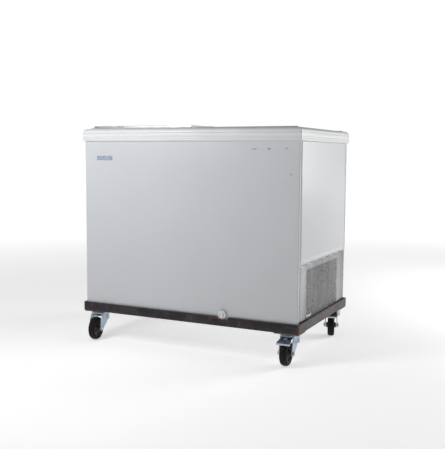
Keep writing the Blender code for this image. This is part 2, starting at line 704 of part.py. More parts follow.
def inset(path, distance):
    """Moves an open path of (x, y) points to its left."""
    moved = []
    for index, (x, y) in enumerate(path):
        x0, y0 = path[max(index - 1, 0)]
        x1, y1 = path[min(index + 1, len(path) - 1)]
        length = hypot(x1 - x0, y1 - y0)
        moved.append((x - distance * (y1 - y0) / length, y + distance * (x1 - x0) / length))
    return moved


def make_fork(name, braked):
    """A pressed fork: a U section, cut to the fork's side outline, under a round cup open at the front.
    It trails towards -Y from its swivel axis. A braked one has two ears for the pedal's hinge pin."""
    inner = FORK_HALF - CHEEK_T
    round_r = 0.008
    outer = [(-FORK_HALF, 0.03)]
    outer += arc(-FORK_HALF + round_r, CROWN_TOP - round_r, round_r, 180, 90, 3)
    outer += arc(FORK_HALF - round_r, CROWN_TOP - round_r, round_r, 90, 0, 3)
    outer += [(FORK_HALF, 0.03)]
    inside_r = round_r - CHEEK_T
    inside = [(inner, 0.03)]
    inside += arc(inner - inside_r, CROWN_BOTTOM - inside_r, inside_r, 0, 90, 2)
    inside += arc(-inner + inside_r, CROWN_BOTTOM - inside_r, inside_r, 90, 180, 2)
    inside += [(-inner, 0.03)]
    fork = add_part(name, prism_mesh(name, outer + inside, -0.08, 0.06, along_y), "zinc")
    side = [(0.036, 0.14), (0.036, 0.086)]
    side += arc(-TRAIL, WHEEL_R, 0.0115, -35, -180, 5)
    side += [(-0.033, 0.108), (-0.033, 0.14)]
    mask = add_cutter(name + "_mask", prism_mesh("mask", side, -0.05, 0.05, along_x))
    boolean(fork, mask, "INTERSECT")
    cup = CUP_SIDE + [(-x, y) for x, y in reversed(CUP_SIDE)]
    join(fork, prism_mesh("cup_top", cup, CROWN_BOTTOM - 0.0004, CROWN_TOP - 0.0002, along_z))
    skirt = cup + inset(cup, CHEEK_T)[::-1]
    join(fork, prism_mesh("cup_skirt", skirt, CUP_BOTTOM, CROWN_BOTTOM + 0.001, along_z))
    axle = rod_mesh("axle", (-0.034, -TRAIL, WHEEL_R), (0.034, -TRAIL, WHEEL_R), 0.0045, 12)
    join(fork, axle)
    for sign in (-1, 1):
        start, end = sorted((sign * (FORK_HALF - 0.001), sign * (FORK_HALF + 0.0062)))
        join(fork, rod_mesh("nut", (start, -TRAIL, WHEEL_R), (end, -TRAIL, WHEEL_R), 0.0088, 6))
        if braked:
            near, far = sorted((sign * inner, sign * FORK_HALF))
            join(fork, box_mesh("ear", (near, HINGE_Y - 0.0045, 0.1070), (far, -0.030, 0.1163)))
    join(fork, rod_mesh("kingpin", (0, 0, CROWN_BOTTOM - 0.007), (0, 0, CROWN_BOTTOM + 0.001), 0.010, 6))
    return fork


def make_caster(corner, x_sign, y_sign, yaw, braked):
    pivot = bpy.data.objects.new("swivel_" + corner, None)
    PARTS.objects.link(pivot)
    pivot.location = (x_sign * CASTER_X, y_sign * CASTER_Y, 0)
    plate_low = LEG_BOTTOM - GAP - 0.0035
    plate = box_mesh("plate", (-PLATE_X / 2, -PLATE_Y / 2, plate_low),
                     (PLATE_X / 2, PLATE_Y / 2, LEG_BOTTOM - GAP))
    plate_part = add_part("caster_plate_" + corner, plate, "zinc")
    plate_part.location = pivot.location
    race = [(0, CROWN_TOP + GAP), (0.031, CROWN_TOP + GAP), (0.033, CROWN_TOP + 0.0025),
            (0.029, plate_low + 0.001), (0, plate_low + 0.001)]
    bpy.context.view_layer.update()
    join_at(plate_part, turned_mesh("race", race, (0, 0, 0), (0, 0, 1), 24))
    fork = make_fork("caster_fork_" + corner, braked)
    wheel = turned_mesh("wheel", wheel_profile(), (0, -TRAIL, WHEEL_R), (1, 0, 0), 32)
    tyre = add_part("caster_wheel_" + corner, wheel, "rubber", smooth=True)
    riders = [fork, tyre]
    if braked:
        riders.append(make_pedal(corner))
    for obj in riders:
        obj.parent = pivot
    pivot.rotation_euler = (0, 0, radians(yaw))


def join_at(obj, mesh):
    """Adds a shape given in the part's own coordinates."""
    other = add_cutter(obj.name + "_add", mesh)
    other.matrix_world = obj.matrix_world
    boolean(obj, other, "UNION")


def wheel_profile():
    """Half section of the wheel as (radius, across): a bored hub, a web and a rounded tyre."""
    bore = 0.0048
    crown = 0.0125
    points = [(bore, -HUB_HALF), (0.0125, -HUB_HALF), (0.0135, -0.012), (0.034, -0.0085),
              (0.036, -TYRE_HALF + 0.002), (0.041, -TYRE_HALF)]
    points += [(WHEEL_R - 0.0028, -crown), (WHEEL_R, -0.0055), (WHEEL_R, 0.0055), (WHEEL_R - 0.0028, crown)]
    points += [(r, -across) for r, across in reversed(points[:6])]
    return points


def make_pedal(corner):
    """A sloping foot plate, wider at its tip, hinged at the front of the fork's crown."""
    tilt = atan2(0.017, 0.052)
    outline = [(-0.0235, 0.0), (0.0235, 0.0), (0.0240, -0.018), (0.0285, -0.036), (0.0285, -0.052),
               (-0.0285, -0.052), (-0.0285, -0.036), (-0.0240, -0.018)]
    plate = prism_mesh("pedal", outline, -0.0014, 0.0014, along_z)
    pedal = add_part("brake_pedal_" + corner, plate, "zinc")
    join(pedal, rod_mesh("boss", (0, -0.012, 0), (0, -0.012, 0.0048), 0.0095, 16))
    lip = box_mesh("lip", (-0.0285, -0.0525, -0.006), (0.0285, -0.0500, 0.0014))
    join(pedal, lip)
    reach = FORK_HALF - CHEEK_T - GAP
    join(pedal, rod_mesh("hinge_pin", (-reach, 0, 0), (reach, 0, 0), 0.0022, 12))
    pedal.data.transform(Matrix.Translation((0, HINGE_Y, HINGE_Z)) @ Matrix.Rotation(tilt, 4, "X"))
    return pedal


# ---------------------------------------------------------------- build

make_outer_panels()
make_side_grille()
make_rear_cover()
make_foam()
make_liner()
make_rim()
make_badge()
make_evaporator()
make_compressor()
make_condenser()
make_fan()
make_bay_tubes()
make_rear_fittings()
make_drain()
make_lids()
make_trolley()
for corner_name, settings in CASTERS.items():
    make_caster(corner_name, *settings)
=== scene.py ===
"""Looks for the ice cream chest freezer with two sliding glass lids, on its welded trolley with casters.

Metres, in the frame of the CAD part: +X is the cabinet's right, +Y its back, +Z up, and the floor is z = 0.
"""

from math import atan2, cos, exp, hypot, pi, radians, sin

import bmesh
import bpy
from mathutils import Matrix, Vector, noise
from mathutils.geometry import delaunay_2d_cdt


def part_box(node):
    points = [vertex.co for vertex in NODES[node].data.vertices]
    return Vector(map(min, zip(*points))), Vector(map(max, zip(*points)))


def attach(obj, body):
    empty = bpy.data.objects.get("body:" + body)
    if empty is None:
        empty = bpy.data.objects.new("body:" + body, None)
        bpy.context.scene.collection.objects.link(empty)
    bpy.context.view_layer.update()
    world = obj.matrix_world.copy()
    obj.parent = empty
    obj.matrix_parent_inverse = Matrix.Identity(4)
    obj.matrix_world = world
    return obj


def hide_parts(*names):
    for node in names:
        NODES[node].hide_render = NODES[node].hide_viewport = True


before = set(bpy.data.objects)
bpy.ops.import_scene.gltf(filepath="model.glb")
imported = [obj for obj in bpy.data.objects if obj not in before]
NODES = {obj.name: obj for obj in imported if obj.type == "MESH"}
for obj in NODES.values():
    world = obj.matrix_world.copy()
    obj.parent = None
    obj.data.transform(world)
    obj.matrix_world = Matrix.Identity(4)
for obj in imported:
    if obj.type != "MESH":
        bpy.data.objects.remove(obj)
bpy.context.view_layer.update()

# ---------------------------------------------------------------- sizes, from the CAD part

GAP = 0.0003
PANEL_LOW, PANEL_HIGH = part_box("front_panel")
HALF_X = PANEL_HIGH.x
HALF_Y = -PANEL_LOW.y
BASE_Z, WALL_TOP = PANEL_LOW.z, PANEL_HIGH.z
SKIN = 0.0015
WRAP = 0.013
CORNER_R = 0.004
WALL = 0.062
SHEET = SKIN - 0.0002
FINE_CELL, COARSE_CELL = 0.0065, 0.02
BAY_X, BAY_TOP = 0.262, 0.397
DRAIN_HOLE_R = 0.012

RIM_LOW, RIM_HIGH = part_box("rim_front")
RIM_OUT = RIM_HIGH.x - HALF_X
RIM_IN = 0.0195
RIM_BOTTOM, RIM_TOP = RIM_LOW.z, RIM_HIGH.z
RIM_RIBS = (0.8958, 0.9042)
FENCE_TOP = 0.944
UPPER_LEDGE = 0.9385
LOWER_LEDGE = 0.924

GRILLE_LOW, GRILLE_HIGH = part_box("side_grille")
FOLD_R = 0.011
HOLE_PITCH_S, HOLE_PITCH_Z, HOLE_R = 0.0068, 0.0059, 0.0024
TROLLEY_LOW, TROLLEY_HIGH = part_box("trolley_angle_front")
TROLLEY_X = TROLLEY_HIGH.x
TROLLEY_Y = -TROLLEY_LOW.y
LEG_BOTTOM = TROLLEY_LOW.z
ANGLE = 0.04
ANGLE_T = 0.004
DRAIN_X, DRAIN_Z = 0.1805, 0.178
FAN_X, FAN_Z = 0.433, 0.279
FAN_BLADES, MOTOR_RIBS = 5, 9
KNOB_X, KNOB_Z = 0.41, 0.345
GLAND_X, GLAND_Z = 0.282, 0.205
POT_X, POT_Y = 0.362, 0.02

WHEEL_R = 0.05
TRAIL = 0.041
FORK_HALF = 0.028
CHEEK_T = 0.003
CROWN_TOP = 0.1182
CROWN_BOTTOM = 0.1147
HINGE_Y, HINGE_Z = -0.0352, 0.1125
CUP_SIDE = [(0.027, -0.0215), (0.034, -0.014), (0.0385, -0.003), (0.0398, 0.008), (0.0378, 0.017),
            (0.031, 0.0272), (0.019, 0.0368), (0.0065, 0.0408)]
CUP_BOTTOM = 0.088
# place (x, y), turn in degrees, and whether it has a brake
CASTERS = {
    "front_left": (-0.459, -0.277, 8, False),
    "front_right": (0.459, -0.277, 3, True),
    "rear_right": (0.459, 0.277, 16, True),
    "rear_left": (-0.459, 0.277, 183, False),
}
CORNERS = {"front_right": (1, -1), "rear_right": (1, 1), "rear_left": (-1, 1), "front_left": (-1, -1)}


# ---------------------------------------------------------------- camera, light, floor

CAMERA_PLACE = (1.465, -2.968, 0.828)
CAMERA_YAW, CAMERA_PITCH, CAMERA_ROLL = 25.92, 5.42, 0.41
SENSOR_MM, LENS_MM = 36, 58.37
# the white surroundings' strength, and what rays from the camera and off shiny faces add to it
SURROUND, SURROUND_SEEN, SURROUND_MIRRORED = 0.04, 0.96, 0.3
# place, target, size in metres and power in watts of each softbox
SOFTBOXES = {
    "left_softbox": ((-0.6, -1.3, 1.4), (-0.35, -0.3, 0.7), (0.6, 0.9), 11.5),
    "right_softbox": ((1.9, 1.8, 1.3), (0.5, 0.1, 0.5), (1.2, 1.6), 32),
    "overhead_softbox": ((-0.3, -0.6, 2.8), (-0.1, -0.1, 0.5), (2.4, 2.4), 3),
}
FLOOR_HALF, FLOOR_Z = 40, -0.0005
FLOOR_COLOUR = 0.93
FLOOR_GLOW = {"From Min": 0.9, "From Max": 4.5, "To Min": 0.52, "To Max": 0.97}


def new_object(name, data):
    obj = bpy.data.objects.new(name, data)
    bpy.context.scene.collection.objects.link(obj)
    return obj


def make_camera():
    data = bpy.data.cameras.new("camera")
    data.sensor_width = SENSOR_MM
    data.lens = LENS_MM
    data.clip_start = 0.05
    camera = new_object("camera", data)
    yaw, pitch, roll = radians(CAMERA_YAW), radians(CAMERA_PITCH), radians(CAMERA_ROLL)
    forward = Vector((-sin(yaw) * cos(pitch), cos(yaw) * cos(pitch), -sin(pitch)))
    level = Vector((cos(yaw), sin(yaw), 0))
    upright = level.cross(forward)
    right = cos(roll) * level + sin(roll) * upright
    up = cos(roll) * upright - sin(roll) * level
    turn = Matrix((right, up, -forward)).transposed().to_4x4()
    camera.matrix_world = Matrix.Translation(CAMERA_PLACE) @ turn
    bpy.context.scene.camera = camera


def area_light(name, place, target, size, energy):
    data = bpy.data.lights.new(name, "AREA")
    data.shape = "RECTANGLE"
    data.size, data.size_y = size
    data.energy = energy
    light = new_object(name, data)
    light.location = place
    light.rotation_euler = (Vector(target) - Vector(place)).to_track_quat("-Z", "Y").to_euler()


def make_studio():
    """White surroundings, a bright floor, and softboxes at the front left, overhead and at the right."""
    world = bpy.data.worlds.new("studio")
    world.use_nodes = True
    tree = world.node_tree
    background = tree.nodes["Background"]
    background.inputs["Color"].default_value = (1.0, 1.0, 1.0, 1.0)
    path = tree.nodes.new("ShaderNodeLightPath")
    strength = None
    for ray, share in (("Is Camera Ray", SURROUND_SEEN), ("Is Glossy Ray", SURROUND_MIRRORED)):
        sum_up = tree.nodes.new("ShaderNodeMath")
        sum_up.operation = "MULTIPLY_ADD"
        tree.links.new(path.outputs[ray], sum_up.inputs[0])
        sum_up.inputs[1].default_value = share
        sum_up.inputs[2].default_value = SURROUND
        if strength:
            tree.links.new(strength, sum_up.inputs[2])
        strength = sum_up.outputs[0]
    tree.links.new(strength, background.inputs["Strength"])
    bpy.context.scene.world = world
    bpy.context.scene.view_settings.view_transform = "Standard"
    for name, settings in SOFTBOXES.items():
        area_light(name, *settings)
    make_floor()


def make_floor():
    """A pale floor that glows a little, more so far away, so that it meets the white surroundings."""
    mesh = bpy.data.meshes.new("floor")
    bm = bmesh.new()
    bmesh.ops.create_grid(bm, x_segments=1, y_segments=1, size=FLOOR_HALF)
    bm.to_mesh(mesh)
    bm.free()
    floor = new_object("floor", mesh)
    floor.location = (0, 0, FLOOR_Z)
    material = bpy.data.materials.new("floor")
    material.use_nodes = True
    tree = material.node_tree
    shader = tree.nodes["Principled BSDF"]
    shader.inputs["Base Color"].default_value = (FLOOR_COLOUR, FLOOR_COLOUR, FLOOR_COLOUR, 1.0)
    shader.inputs["Roughness"].default_value = 0.9
    shader.inputs["Specular IOR Level"].default_value = 0.1
    shader.inputs["Emission Color"].default_value = (1.0, 1.0, 1.0, 1.0)
    place = tree.nodes.new("ShaderNodeTexCoord")
    away = tree.nodes.new("ShaderNodeVectorMath")
    away.operation = "LENGTH"
    tree.links.new(place.outputs["Object"], away.inputs[0])
    glow = tree.nodes.new("ShaderNodeMapRange")
    for socket, value in FLOOR_GLOW.items():
        glow.inputs[socket].default_value = value
    tree.links.new(away.outputs["Value"], glow.inputs["Value"])
    tree.links.new(glow.outputs["Result"], shader.inputs["Emission Strength"])
    mesh.materials.append(material)


make_camera()
make_studio()


# ---------------------------------------------------------------- materials

class Shader:
    """A Principled material built up from noise and masks in the piece's own coordinates, in metres."""

    def __init__(self, name, **sockets):
        self.material = bpy.data.materials.new(name)
        self.material.use_nodes = True
        self.tree = self.material.node_tree
        self.bsdf = self.tree.nodes["Principled BSDF"]
        for socket, value in sockets.items():
            self.bsdf.inputs[socket.replace("_", " ")].default_value = value
        self.coords = self.tree.nodes.new("ShaderNodeTexCoord").outputs["Object"]
        self.last_bump = None

    def node(self, kind, inputs=(), **settings):
        made = self.tree.nodes.new(kind)
        for setting, value in settings.items():
            setattr(made, setting, value)
        for key, value in dict(inputs).items():
            self.feed(made.inputs[key], value)
        return made

    def feed(self, socket, value):
        if isinstance(value, bpy.types.NodeSocket):
            self.tree.links.new(value, socket)
        elif isinstance(value, tuple) and socket.type == "RGBA":
            socket.default_value = (*value, 1.0)
        else:
            socket.default_value = value

    def noise(self, scale, detail=3.0, rough=0.55, stretch=None, distortion=0.0):
        place = self.coords
        if stretch:
            place = self.node("ShaderNodeMapping", {"Vector": place, "Scale": stretch}).outputs["Vector"]
        made = self.node("ShaderNodeTexNoise", {"Vector": place, "Scale": scale, "Detail": detail,
                                                "Roughness": rough, "Distortion": distortion})
        return made.outputs["Fac"]

    def cells(self, scale, feature="F1", output="Color"):
        made = self.node("ShaderNodeTexVoronoi", {"Vector": self.coords, "Scale": scale}, feature=feature)
        return made.outputs[output]

    def math(self, operation, a, b):
        return self.node("ShaderNodeMath", {0: a, 1: b}, operation=operation).outputs[0]

    def steps(self, fac, low, high, to_low=0.0, to_high=1.0):
        """Maps low..high of a value smoothly to to_low..to_high."""
        made = self.node("ShaderNodeMapRange", {"Value": fac, "From Min": low, "From Max": high,
                                                "To Min": to_low, "To Max": to_high},
                         interpolation_type="SMOOTHSTEP")
        return made.outputs["Result"]

    def mix(self, fac, a, b):
        made = self.node("ShaderNodeMix", data_type="RGBA")
        for socket, value in (("Factor", fac), ("A", a), ("B", b)):
            self.feed(made.inputs[socket], value)
        return made.outputs["Result"]

    def ramp(self, fac, stops):
        made = self.node("ShaderNodeValToRGB", {"Fac": fac})
        elements = made.color_ramp.elements
        while len(elements) < len(stops):
            elements.new(0.5)
        for element, (position, colour) in zip(elements, stops):
            element.position = position
            element.color = (*colour, 1.0)
        return made.outputs["Color"]

    def spot(self, centre, size, edge, wobble):
        """A mask round a point: 1 in the middle, 0 past the given half sizes, with a ragged edge."""
        shifted = self.node("ShaderNodeVectorMath", {0: self.coords, 1: centre}, operation="SUBTRACT")
        scaled = self.node("ShaderNodeVectorMath", {0: shifted.outputs[0], 1: tuple(1 / s for s in size)},
                           operation="MULTIPLY")
        length = self.node("ShaderNodeVectorMath", {0: scaled.outputs[0]}, operation="LENGTH")
        ragged = self.math("MULTIPLY_ADD", self.math("SUBTRACT", edge, 0.5), wobble * 2)
        return self.steps(self.math("ADD", length.outputs["Value"], ragged), 1.0, 0.45)

    def near(self, name, value, reach, edge=None, wobble=0.5):
        """A mask along a plane: 1 where the coordinate equals value, fading to 0 at reach."""
        place = self.node("ShaderNodeSeparateXYZ", {"Vector": self.coords}).outputs[name]
        away = self.math("DIVIDE", self.math("ABSOLUTE", self.math("SUBTRACT", place, value), 0.0), reach)
        if edge is not None:
            away = self.math("ADD", away, self.math("MULTIPLY", self.math("SUBTRACT", edge, 0.5), wobble * 2))
        return self.steps(away, 1.0, 0.0)

    def bump(self, height, distance, strength):
        made = self.node("ShaderNodeBump", {"Height": height, "Distance": distance, "Strength": strength})
        if self.last_bump is not None:
            self.tree.links.new(self.last_bump, made.inputs["Normal"])
        self.last_bump = made.outputs["Normal"]
        self.tree.links.new(self.last_bump, self.bsdf.inputs["Normal"])

    def colour(self, value):
        self.feed(self.bsdf.inputs["Base Color"], value)

    def rough(self, value):
        self.feed(self.bsdf.inputs["Roughness"], value)

    def metal(self, value):
        self.feed(self.bsdf.inputs["Metallic"], value)


WHITE = (0.6, 0.617, 0.642)
WHITE_SHADE = (0.585, 0.602, 0.624)
SMUDGE = (0.53, 0.53, 0.52)
LOW_DARKER_TONE = (0.5, 0.49, 0.5)
SPECKS = (0.35, 0.3, 0.24)
BARE = [(0.3, (0.045, 0.04, 0.028)), (0.6, (0.12, 0.105, 0.07)), (0.8, (0.11, 0.055, 0.03))]
RIM_WHITE = (0.72, 0.726, 0.738)
RIM_SHADE = (0.69, 0.69, 0.695)
RIM_STREAK = (0.62, 0.62, 0.61)
RIM_GROOVE_SHADE = (0.38, 0.38, 0.38)
RUST = [(0.32, (0.1, 0.045, 0.025)), (0.5, (0.17, 0.065, 0.03)), (0.7, (0.23, 0.085, 0.03)),
        (0.85, (0.34, 0.15, 0.06))]

# centre (x, z) and half sizes of the scuffs where the front's paint is gone
SCRATCHES = [
    (0.316, 0.8548, 0.034, 0.0066),
    (0.375, 0.8552, 0.026, 0.0058),
    (0.449, 0.856, 0.017, 0.0076),
    (0.469, 0.757, 0.009, 0.008),
    (0.299, 0.85, 0.01, 0.004),
]
SCRATCH_DEPTH = 0.02
# centre (x, z), radius and depth of the front's dents
DENTS = [
    (0.392, 0.749, 0.01, 0.0009),
    (0.447, 0.731, 0.012, 0.001),
    (0.093, 0.686, 0.011, 0.0008),
    (0.449, 0.856, 0.012, 0.0008),
    (0.335, 0.855, 0.02, 0.0005),
]


def paint_material(name, scratches=()):
    s = Shader(name, Coat_Weight=0.25, Coat_Roughness=0.2)
    colour = s.mix(s.steps(s.noise(2.2, 4, 0.6), 0.35, 0.7), WHITE, WHITE_SHADE)
    smudge = s.steps(s.noise(5.5, 6, 0.62, (1, 1, 0.35), 0.4), 0.56, 0.75)
    colour = s.mix(s.math("MULTIPLY", smudge, 0.16), colour, SMUDGE)
    # Darker towards the bottom of each panel.
    low = s.near("Z", BASE_Z, 0.06, s.noise(18, 4), 0.9)
    colour = s.mix(s.math("MULTIPLY", low, 0.35), colour, LOW_DARKER_TONE)
    specks = s.steps(s.noise(150, 2, 0.5), 0.735, 0.78)
    colour = s.mix(s.math("MULTIPLY", specks, 0.35), colour, SPECKS)
    if scratches:
        edge = s.noise(190, 4, 0.6, (0.45, 1, 1.3))
        bare = 0.0
        for x, z, half_x, half_z in scratches:
            spot = s.spot((x, -HALF_Y, z), (half_x, SCRATCH_DEPTH, half_z), edge, 0.8)
            bare = s.math("MAXIMUM", bare, spot)
        colour = s.mix(bare, colour, s.ramp(s.noise(240, 3), BARE))
        s.rough(s.steps(s.math("MAXIMUM", bare, s.math("MULTIPLY", smudge, 0.35)), 0, 1, 0.3, 0.8))
    else:
        s.rough(s.steps(smudge, 0, 1, 0.3, 0.44))
    s.colour(colour)
    s.bump(s.noise(60, 3, 0.5), 0.00006, 0.35)
    s.bump(s.noise(9, 2), 0.0004, 0.25)
    return s.material


def rim_material():
    s = Shader("rim_plastic")
    tone = s.noise(7, 5, 0.6)
    colour = s.mix(s.steps(tone, 0.45, 0.72), RIM_WHITE, RIM_SHADE)
    streak = s.steps(s.noise(30, 4, 0.6, (0.12, 0.12, 3)), 0.55, 0.75)
    colour = s.mix(s.math("MULTIPLY", streak, 0.25), colour, RIM_STREAK)
    # Painted shade: dark lines along the rim's lower edge, in its two rib grooves and in the groove under the
    # shoulder.
    for z in (RIM_BOTTOM, *RIM_RIBS, 0.9203):
        colour = s.mix(s.math("MULTIPLY", s.near("Z", z, 0.0011), 0.45), colour, RIM_GROOVE_SHADE)
    s.colour(colour)
    s.rough(s.steps(tone, 0.3, 0.8, 0.3, 0.48))
    s.bump(s.noise(260, 3), 0.00008, 0.3)
    return s.material


def galvanised_material(name, base, spangle, contrast, gloss):
    """Zinc coated sheet: faint spangle, dull patches, and a soft unevenness that bends reflections."""
    s = Shader(name, Metallic=1.0)
    tone = s.node("ShaderNodeRGBToBW", {"Color": s.cells(spangle)}).outputs["Val"]
    low, high = base * (1 - contrast), base * (1 + contrast)
    colour = s.ramp(tone, [(0.25, (low, low * 1.02, low * 1.05)), (0.5, (base, base, base * 1.03)),
                           (0.8, (high, high, high * 1.02))])
    dirt = s.noise(16, 6, 0.65)
    colour = s.mix(s.steps(dirt, 0.6, 0.8, 0, 0.4), colour, (base * 0.55, base * 0.53, base * 0.5))
    bands = s.noise(11, 2, 0.4, (1, 1, 0.12))
    colour = s.mix(s.steps(bands, 0.36, 0.5, 0.5, 0), colour, (base * 0.5, base * 0.51, base * 0.54))
    colour = s.mix(s.steps(bands, 0.54, 0.66, 0, 0.6), colour, (base * 1.6, base * 1.62, base * 1.65))
    s.colour(colour)
    s.rough(s.steps(s.math("ADD", s.math("MULTIPLY", tone, 0.3), s.math("MULTIPLY", dirt, 0.7)),
                    0.25, 0.75, gloss, gloss + 0.14))
    s.bump(s.noise(5, 1, 0.3), 0.0012, 0.6)
    s.bump(tone, 0.00004, 0.2)
    return s.material


def zinc_material(name, tint):
    s = Shader(name)
    pale = tuple(min(1.0, c * 1.25) for c in tint)
    dull = (tint[0] * 0.62, tint[1] * 0.6, tint[2] * 0.56)
    stain = s.steps(s.noise(70, 5, 0.7), 0.6, 0.78, 0, 0.75)
    colour = s.ramp(s.noise(24, 4, 0.6), [(0.32, dull), (0.47, tint), (0.72, pale)])
    s.colour(s.mix(stain, colour, (0.28, 0.2, 0.13)))
    s.rough(s.steps(s.noise(45, 4), 0.3, 0.75, 0.22, 0.46))
    s.metal(s.steps(stain, 0, 0.75, 1.0, 0.45))
    s.bump(s.noise(160, 4), 0.0002, 0.4)
    return s.material


def mill_scale_material():
    """Blotched dark steel, rusty along its edges, at the trolley's corners and round the drain notch, with
    painted shade darkening the front bar.
    """
    s = Shader("mill_scale")
    colour = s.ramp(s.noise(9, 6, 0.62), [(0.3, (0.014, 0.013, 0.015)), (0.48, (0.03, 0.028, 0.034)),
                                          (0.6, (0.058, 0.052, 0.062)), (0.75, (0.034, 0.03, 0.032))])
    streaks = s.noise(32, 5, 0.6, (0.25, 0.25, 2.2))
    colour = s.mix(s.steps(streaks, 0.52, 0.72, 0, 0.55), colour, (0.12, 0.105, 0.115))
    ragged = s.noise(60, 6, 0.68)
    rust = s.steps(s.noise(21, 6, 0.7), 0.57, 0.7)
    for z, reach in ((LEG_BOTTOM, 0.007), (LEG_BOTTOM + ANGLE, 0.0055)):
        rust = s.math("MAXIMUM", rust, s.math("MULTIPLY", s.near("Z", z, reach, ragged, 1.1), 0.75))
    for x, y in CORNERS.values():
        middle = (x * TROLLEY_X, y * TROLLEY_Y, LEG_BOTTOM + ANGLE / 2)
        corner = s.spot(middle, (0.013, 0.013, 0.045), ragged, 0.5)
        rust = s.math("MAXIMUM", rust, corner)
    notch = s.spot((DRAIN_X + 0.006, -TROLLEY_Y, LEG_BOTTOM + 0.03), (0.048, 0.02, 0.022), ragged, 0.7)
    rust = s.math("MAXIMUM", rust, s.math("MULTIPLY", notch, 0.8))
    colour = s.mix(s.math("MULTIPLY", rust, 0.85), colour, s.ramp(s.noise(85, 5, 0.7), RUST))
    # Painted shade: the front bar is darkened halfway towards near black.
    front = s.near("Y", -TROLLEY_Y, 0.03)
    s.colour(s.mix(s.math("MULTIPLY", front, 0.5), colour, (0.012, 0.011, 0.012)))
    s.rough(s.steps(rust, 0, 1, 0.42, 0.85))
    s.metal(s.steps(rust, 0, 1, 0.45, 0.0))
    s.bump(s.noise(120, 6, 0.7), 0.0006, 0.55)
    s.bump(s.noise(14, 3), 0.0012, 0.35)
    return s.material


def ramped_material(name, pattern, stops, rough, grain, **sockets):
    """A material whose colour and roughness follow one noise pattern, with a finer grain as its bump."""
    s = Shader(name, **sockets)
    tone = s.noise(*pattern)
    s.colour(s.ramp(tone, stops))
    s.rough(s.steps(tone, *rough))
    scale, detail, height, strength = grain
    s.bump(s.noise(scale, detail), height, strength)
    return s.material


def clouded_material(name, pattern, cloud, colours, rough, grain, **sockets):
    """A material that fades softly between two colours, with a finer grain as its bump."""
    s = Shader(name, **sockets)
    tone = s.noise(*pattern)
    s.colour(s.mix(s.steps(tone, *cloud), *colours))
    s.rough(s.steps(tone, *rough))
    scale, detail, height, strength = grain
    s.bump(s.noise(scale, detail), height, strength)
    return s.material


def plastic_look(name, colour, roughness, dirt):
    """A plastic whose material and slot have the same name."""
    return clouded_material(name, (33, 5, 0.65), (0.52, 0.8, 0, 0.55), (colour, dirt),
                            (0.3, 0.8, roughness * 0.85, roughness * 1.5), (380, 2, 0.0001, 0.4)), name


def aluminium_material(name, base, along, metal=1.0):
    s = Shader(name, Metallic=metal)
    grain = s.noise(900, 3, 0.6, along)
    s.colour(s.ramp(grain, [(0.3, (base * 0.86,) * 3), (0.7, (base * 1.12,) * 3)]))
    s.rough(s.steps(s.noise(20, 4), 0.3, 0.75, 0.22, 0.42))
    s.bump(grain, 0.00004, 0.4)
    return s.material


def liner_material():
    """Stucco embossed aluminium."""
    s = Shader("embossed_liner", Metallic=0.75)
    broad = s.noise(4, 4)
    s.colour(s.mix(s.steps(broad, 0.4, 0.75), (0.76, 0.77, 0.78), (0.66, 0.67, 0.67)))
    s.rough(s.steps(broad, 0.3, 0.8, 0.26, 0.44))
    s.bump(s.cells(130, "SMOOTH_F1", "Distance"), 0.0007, 0.6)
    return s.material


def foam_material():
    s = Shader("foam", Roughness=0.92)
    s.colour(s.mix(s.steps(s.noise(14, 5), 0.35, 0.75), (0.8, 0.7, 0.46), (0.66, 0.52, 0.28)))
    s.bump(s.cells(420, "F1", "Distance"), 0.0008, 0.8)
    return s.material


def glass_material():
    s = Shader("lid_glass", Base_Color=(0.93, 0.98, 0.965, 1.0), Transmission_Weight=1.0, IOR=1.5)
    s.rough(s.steps(s.noise(7, 6, 0.65, (1, 0.45, 1)), 0.45, 0.8, 0.015, 0.16))
    return s.material


# each look is a material and the slot that its pieces usually have
PAINT = paint_material("white_paint"), "white_paint"
FRONT_PAINT = paint_material("white_paint_front", SCRATCHES), "white_paint"
RIM = rim_material(), "white_plastic"
GREY = ramped_material(
    "grey_plastic", (38, 5, 0.65, (0.3, 1, 1)),
    [(0.3, (0.36, 0.38, 0.4)), (0.55, (0.42, 0.44, 0.46)), (0.75, (0.56, 0.57, 0.58))],
    (0.3, 0.8, 0.36, 0.6), (420, 2, 0.0001, 0.4)), "grey_plastic"
GRILLE = galvanised_material("galvanised_grille", 0.25, 90, 0.06, 0.24), "galvanised"
GALVANISED = galvanised_material("galvanised_sheet", 0.5, 110, 0.14, 0.28), "galvanised"
ZINC = zinc_material("zinc_plate", (0.39, 0.46, 0.53)), "zinc"
# A much darker zinc than the forks' zinc, for the caster plates.
DARK_ZINC = zinc_material("dark_zinc_plate", (0.13, 0.14, 0.155)), "zinc"
MILL = mill_scale_material(), "mill_scale"
RUBBER = ramped_material(
    "tyre_rubber", (42, 6, 0.68),
    [(0.35, (0.005, 0.004, 0.004)), (0.52, (0.009, 0.007, 0.005)), (0.68, (0.024, 0.016, 0.012)),
     (0.85, (0.06, 0.045, 0.035))],
    (0.3, 0.7, 0.48, 0.85), (300, 4, 0.0002, 0.5), Specular_IOR_Level=0.2), "rubber"
HUB = ramped_material(
    "hub_plastic", (60, 5),
    [(0.35, (0.012, 0.012, 0.013)), (0.6, (0.03, 0.028, 0.027)), (0.8, (0.09, 0.08, 0.07))],
    (0.3, 0.8, 0.38, 0.75), (500, 2, 0.0001, 0.4)), "black_plastic"
ALUMINIUM = aluminium_material("brushed_aluminium", 0.7, (0.02, 1, 1)), "aluminium"
BRIGHT = aluminium_material("bright_aluminium", 0.88, (1, 0.05, 1), 0.3), "aluminium"
LID_METAL = aluminium_material("dull_lid_metal", 0.4, (0.02, 1, 1), 0.6), "aluminium"
COPPER = ramped_material(
    "old_copper", (45, 6, 0.65),
    [(0.3, (0.24, 0.11, 0.07)), (0.5, (0.5, 0.24, 0.13)), (0.75, (0.78, 0.42, 0.24))],
    (0.3, 0.75, 0.45, 0.24), (200, 3, 0.0001, 0.4), Metallic=1.0), "copper"
